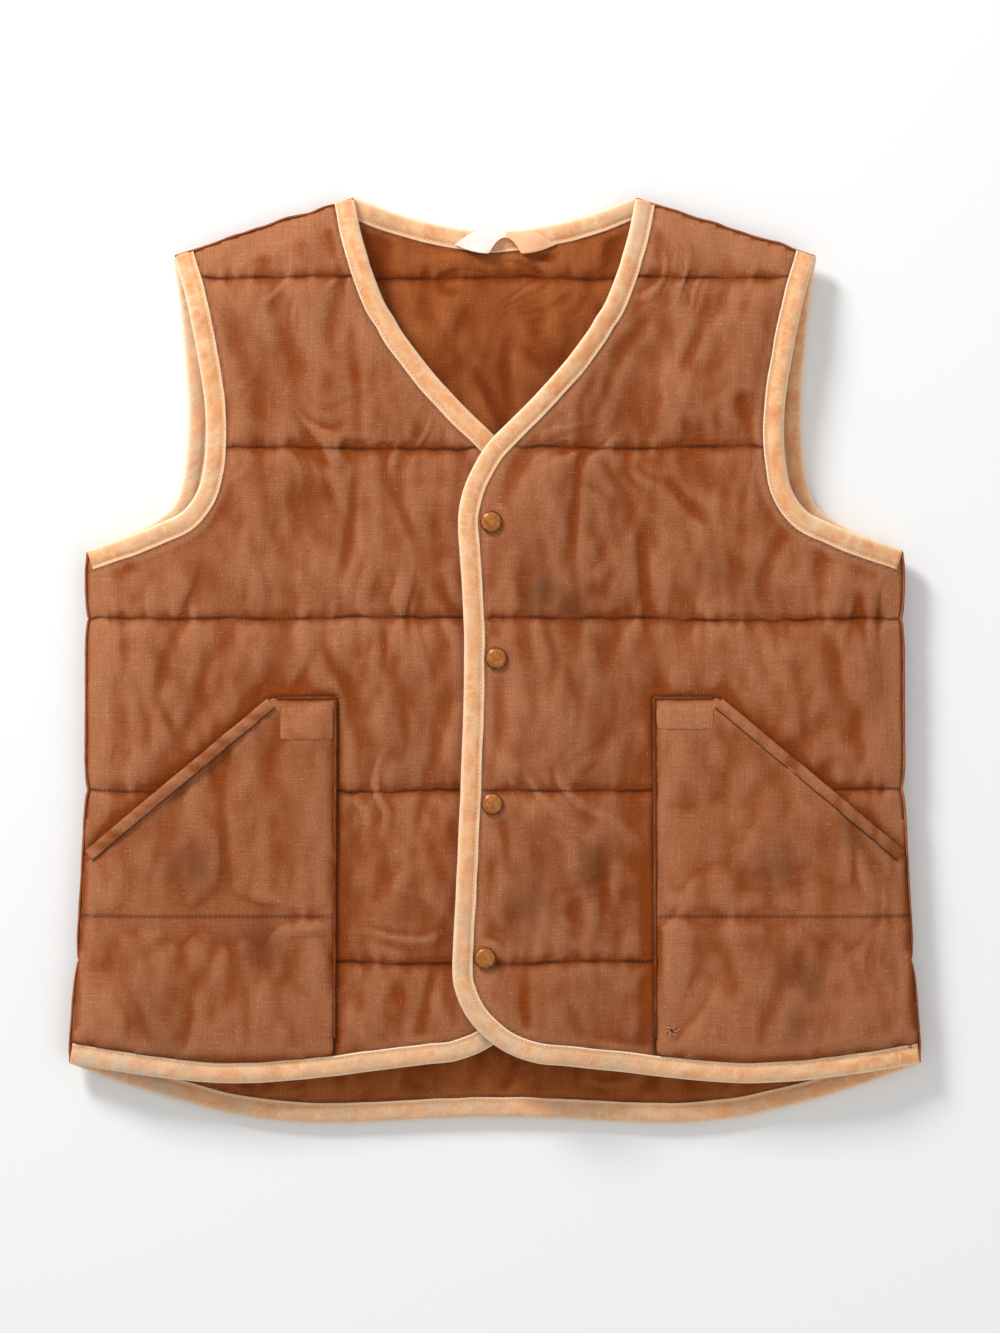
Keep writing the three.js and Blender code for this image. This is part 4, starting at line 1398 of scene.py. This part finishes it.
def make_trim(side, lines, middle):
    """The folded strip sewn along the pocket's mouth."""
    name = SIDE_NAME[side]
    strip = Strip(lines["mouth"][1:-1], np.array(STRIP_SECTION) * MM)
    s, u = strip.along, strip.inward
    pucker = ripple(s + 0.6 * u, u, 8 * MM, 20 * MM, 5.5 + side)
    strip.height += np.where(strip.height > 0, 0.8 * MM * pucker, 0)
    strip.inward = u + 0.4 * MM * ripple(s, 0 * s, 22 * MM, 1, 8.5 + side) - 1.2 * MM
    piece = strip.piece(f"{name}_pocket_strip", middle, SHELL)
    plain_marks(piece, 0.2)
    # painted shade in the troughs of the puckers
    put_number(piece, "painted_shade", np.clip(0.3 - 0.6 * pucker, 0, 1))
    # dark stitch lines along the inner edge and the fold, with painted crease shadow
    put_number(piece, "seam", 0.85 * furrow(u - 8.4 * MM, 0.8 * MM) + 0.25 * furrow(u, 0.5 * MM))
    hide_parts(f"{name}_pocket_trim")
    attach(piece, "root")
    return piece


def make_patch(side, lines, tree):
    """The small doubled patch at the top of the pocket."""
    name = SIDE_NAME[side]
    low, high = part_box(f"{name}_pocket_patch")
    corners = np.array([(low[0], low[1]), (high[0], low[1]), (high[0], high[1]), (low[0], high[1])])
    edges = {k: smooth_line(np.array([corners[k], corners[(k + 1) % 4]])) for k in range(4)}
    plan, quads, _ = plan_grid(joined(edges, range(4)), corners)
    x, y = plan.T
    z = heights_on(tree, x, y, pocket_height(x, y, side, lines) + POCKET_HALF)
    piece = walled_sheet(f"{name}_pocket_patch_cloth", plan, quads, z - 0.2 * MM, z + 0.45 * MM, SHELL)
    apply_modifier(piece, "SUBSURF", levels=1, render_levels=1)
    # a faint even painted shade
    plain_marks(piece, 0.1)
    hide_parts(f"{name}_pocket_patch")
    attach(piece, "root")
    return shaded_smooth(piece)


# ---- snaps ---------------------------------------------------------------------------


def turned_piece(name, profile, place, height, material, node, body):
    """A piece turned on a lathe from its profile of radius and height, in millimetres."""
    mesh = bpy.data.meshes.new(name)
    edges = [(i, i + 1) for i in range(len(profile) - 1)]
    mesh.from_pydata([(r * MM, 0, z * MM) for r, z in profile], edges, [])
    piece = bpy.data.objects.new(name, mesh)
    bpy.context.scene.collection.objects.link(piece)
    apply_modifier(piece, "SCREW", steps=48, render_steps=48, use_merge_vertices=True,
                   merge_threshold=0.00001)
    points = coordinates(piece)
    put_coordinates(piece, points + np.array([place[0], place[1], height]))
    bm = bmesh.new()
    bm.from_mesh(piece.data)
    bmesh.ops.remove_doubles(bm, verts=bm.verts, dist=0.001 * MM)
    bmesh.ops.recalc_face_normals(bm, faces=bm.faces)
    bm.to_mesh(piece.data)
    bm.free()
    mesh.materials.append(material)
    piece.data.shade_smooth()
    if node:
        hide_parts(node)
    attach(piece, body)
    return piece


# A snap cap's dome and rim, as profiles of radius and height.
CAP_DOME = [
    (0, 3.0), (1.8, 2.95), (3.6, 2.75), (5.2, 2.35), (6.2, 1.9), (6.75, 1.4), (6.7, 0.9), (5.8, 0.5),
    (0, 0.5),
]
CAP_RIM = [
    (6.5, 1.25), (6.8, 1.6), (7.15, 1.5), (7.45, 1.0), (7.5, 0.6), (7.3, 0.2), (6.8, 0.0), (0.0, 0.0),
    (0.0, 0.6), (6.4, 0.7), (6.5, 1.25),
]


def make_snap(number):
    spot = SNAP_XY[number]
    name = f"snap_{number + 1}"
    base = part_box(f"{name}_cap")[1][2] - 3.0 * MM
    dome = turned_piece(f"{name}_dome", CAP_DOME, spot, base, ENAMEL, f"{name}_cap", "left_flap")
    rim = turned_piece(f"{name}_rim", CAP_RIM, spot, base, RIM_METAL, None, "left_flap")


def dress_hardware():
    """The sockets, studs and eyelets keep their own shapes and take the metal's finish."""
    for number in range(SNAPS):
        for part in ("socket", "stud", "eyelet"):
            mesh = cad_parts[f"snap_{number + 1}_{part}"].data
            mesh.materials.clear()
            mesh.materials.append(SNAP_METAL)


# ---- neck label ----------------------------------------------------------------------


def make_label():
    """The plain strip inside the back neck, arched up off the tape as a hanging loop."""
    outline = plate_outline("neck_label")
    low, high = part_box("neck_label")
    width = high[0] - low[0]
    columns, rows = 81, 9
    plan = []
    for x in np.linspace(low[0] + 0.2 * MM, high[0] - 0.2 * MM, columns):
        a, b = outline, np.roll(outline, -1, 0)
        crossed = (a[:, 0] > x) != (b[:, 0] > x)
        share = (x - a[crossed, 0]) / (b[crossed, 0] - a[crossed, 0])
        heights = a[crossed, 1] + share * (b[crossed, 1] - a[crossed, 1])
        plan += [(x, y) for y in np.linspace(heights.min(), heights.max(), rows)]
    plan = np.array(plan)
    quads = [
        (i, i + rows, i + rows + 1, i + 1)
        for column in range(columns - 1)
        for i in range(column * rows, column * rows + rows - 1)
    ]
    x, y = plan.T
    down = (high[1] - y) / (high[1] - low[1])
    middle = 1 - np.clip(np.abs(x - (low[0] + high[0]) / 2) / (width / 2), 0, 1)
    mid = 7.2 * MM + 6.3 * MM * np.sqrt(np.clip(down, 0, 1)) * (0.3 + 0.7 * ease(middle * 1.6))
    mid += 0.4 * MM * ripple(x, y, 9 * MM, 7 * MM, 2.5) * ease(down * 4)
    piece = walled_sheet("neck_strip", plan, quads, mid - 0.35 * MM, mid + 0.35 * MM, LABEL_CLOTH)
    apply_modifier(piece, "SUBSURF", levels=1, render_levels=1)
    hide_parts("neck_label")
    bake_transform(piece, "root", "neck_label", (0, high[1], 0), (0, high[1] - 5 * MM, 0))
    shaded_smooth(piece)


# ---- camera, light and floor ---------------------------------------------------------


def make_camera():
    data = bpy.data.cameras.new("camera")
    data.sensor_width = 36
    data.lens = 101.7
    data.clip_end = 20
    camera = bpy.data.objects.new("camera", data)
    camera.location = (3.5 * MM, -3.8 * MM, 2.6)
    bpy.context.scene.collection.objects.link(camera)
    bpy.context.scene.camera = camera


def area_light(name, place, size, watts):
    data = bpy.data.lights.new(name, "AREA")
    data.size = size
    data.energy = watts
    lamp = bpy.data.objects.new(name, data)
    lamp.location = place
    lamp.rotation_euler = (-Vector(place)).to_track_quat("-Z", "Y").to_euler()
    bpy.context.scene.collection.objects.link(lamp)


def make_studio():
    bpy.ops.object.select_all(action="DESELECT")
    bpy.ops.mesh.primitive_plane_add(size=8)
    floor = bpy.context.object
    floor.name = "floor"
    floor.data.materials.append(floor_finish())
    area_light("key", (-1.6, 2.2, 1.35), 0.8, 92)
    area_light("fill", (1.4, -1.0, 2.2), 2.0, 12)
    world = bpy.data.worlds.new("studio")
    world.use_nodes = True
    world.node_tree.nodes["Background"].inputs["Color"].default_value = (1, 1, 1, 1)
    world.node_tree.nodes["Background"].inputs["Strength"].default_value = 0.5
    bpy.context.scene.world = world
    bpy.context.scene.view_settings.view_transform = "Standard"


# ---- the whole vest ------------------------------------------------------------------


def quilting_threads(piece, lines, tapes, seams, skip):
    rows = quilting_rows(piece, lines, tapes, seams, True, skip)
    rows += quilting_rows(piece, lines, tapes, seams, False)
    threads = stitched(f"{piece.name}_quilting", rows, BROWN_THREAD)
    return threads


make_camera()
make_studio()
back = make_back()
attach(quilting_threads(back, BACK, BACK_TAPES, BACK_SEAMS, None), "root")
fronts = {}
for side in (LEFT, RIGHT):
    front = make_front(side)
    fronts[side] = front
    threads = quilting_threads(front, FRONT[side], FRONT_TAPES, FRONT_SEAMS, POCKET[side]["plan"])
    bend_with_flap(threads, side)
make_tapes()
make_seams()
for side in (LEFT, RIGHT):
    make_pocket(side, fronts[side])
for number in range(SNAPS):
    make_snap(number)
dress_hardware()
make_label()
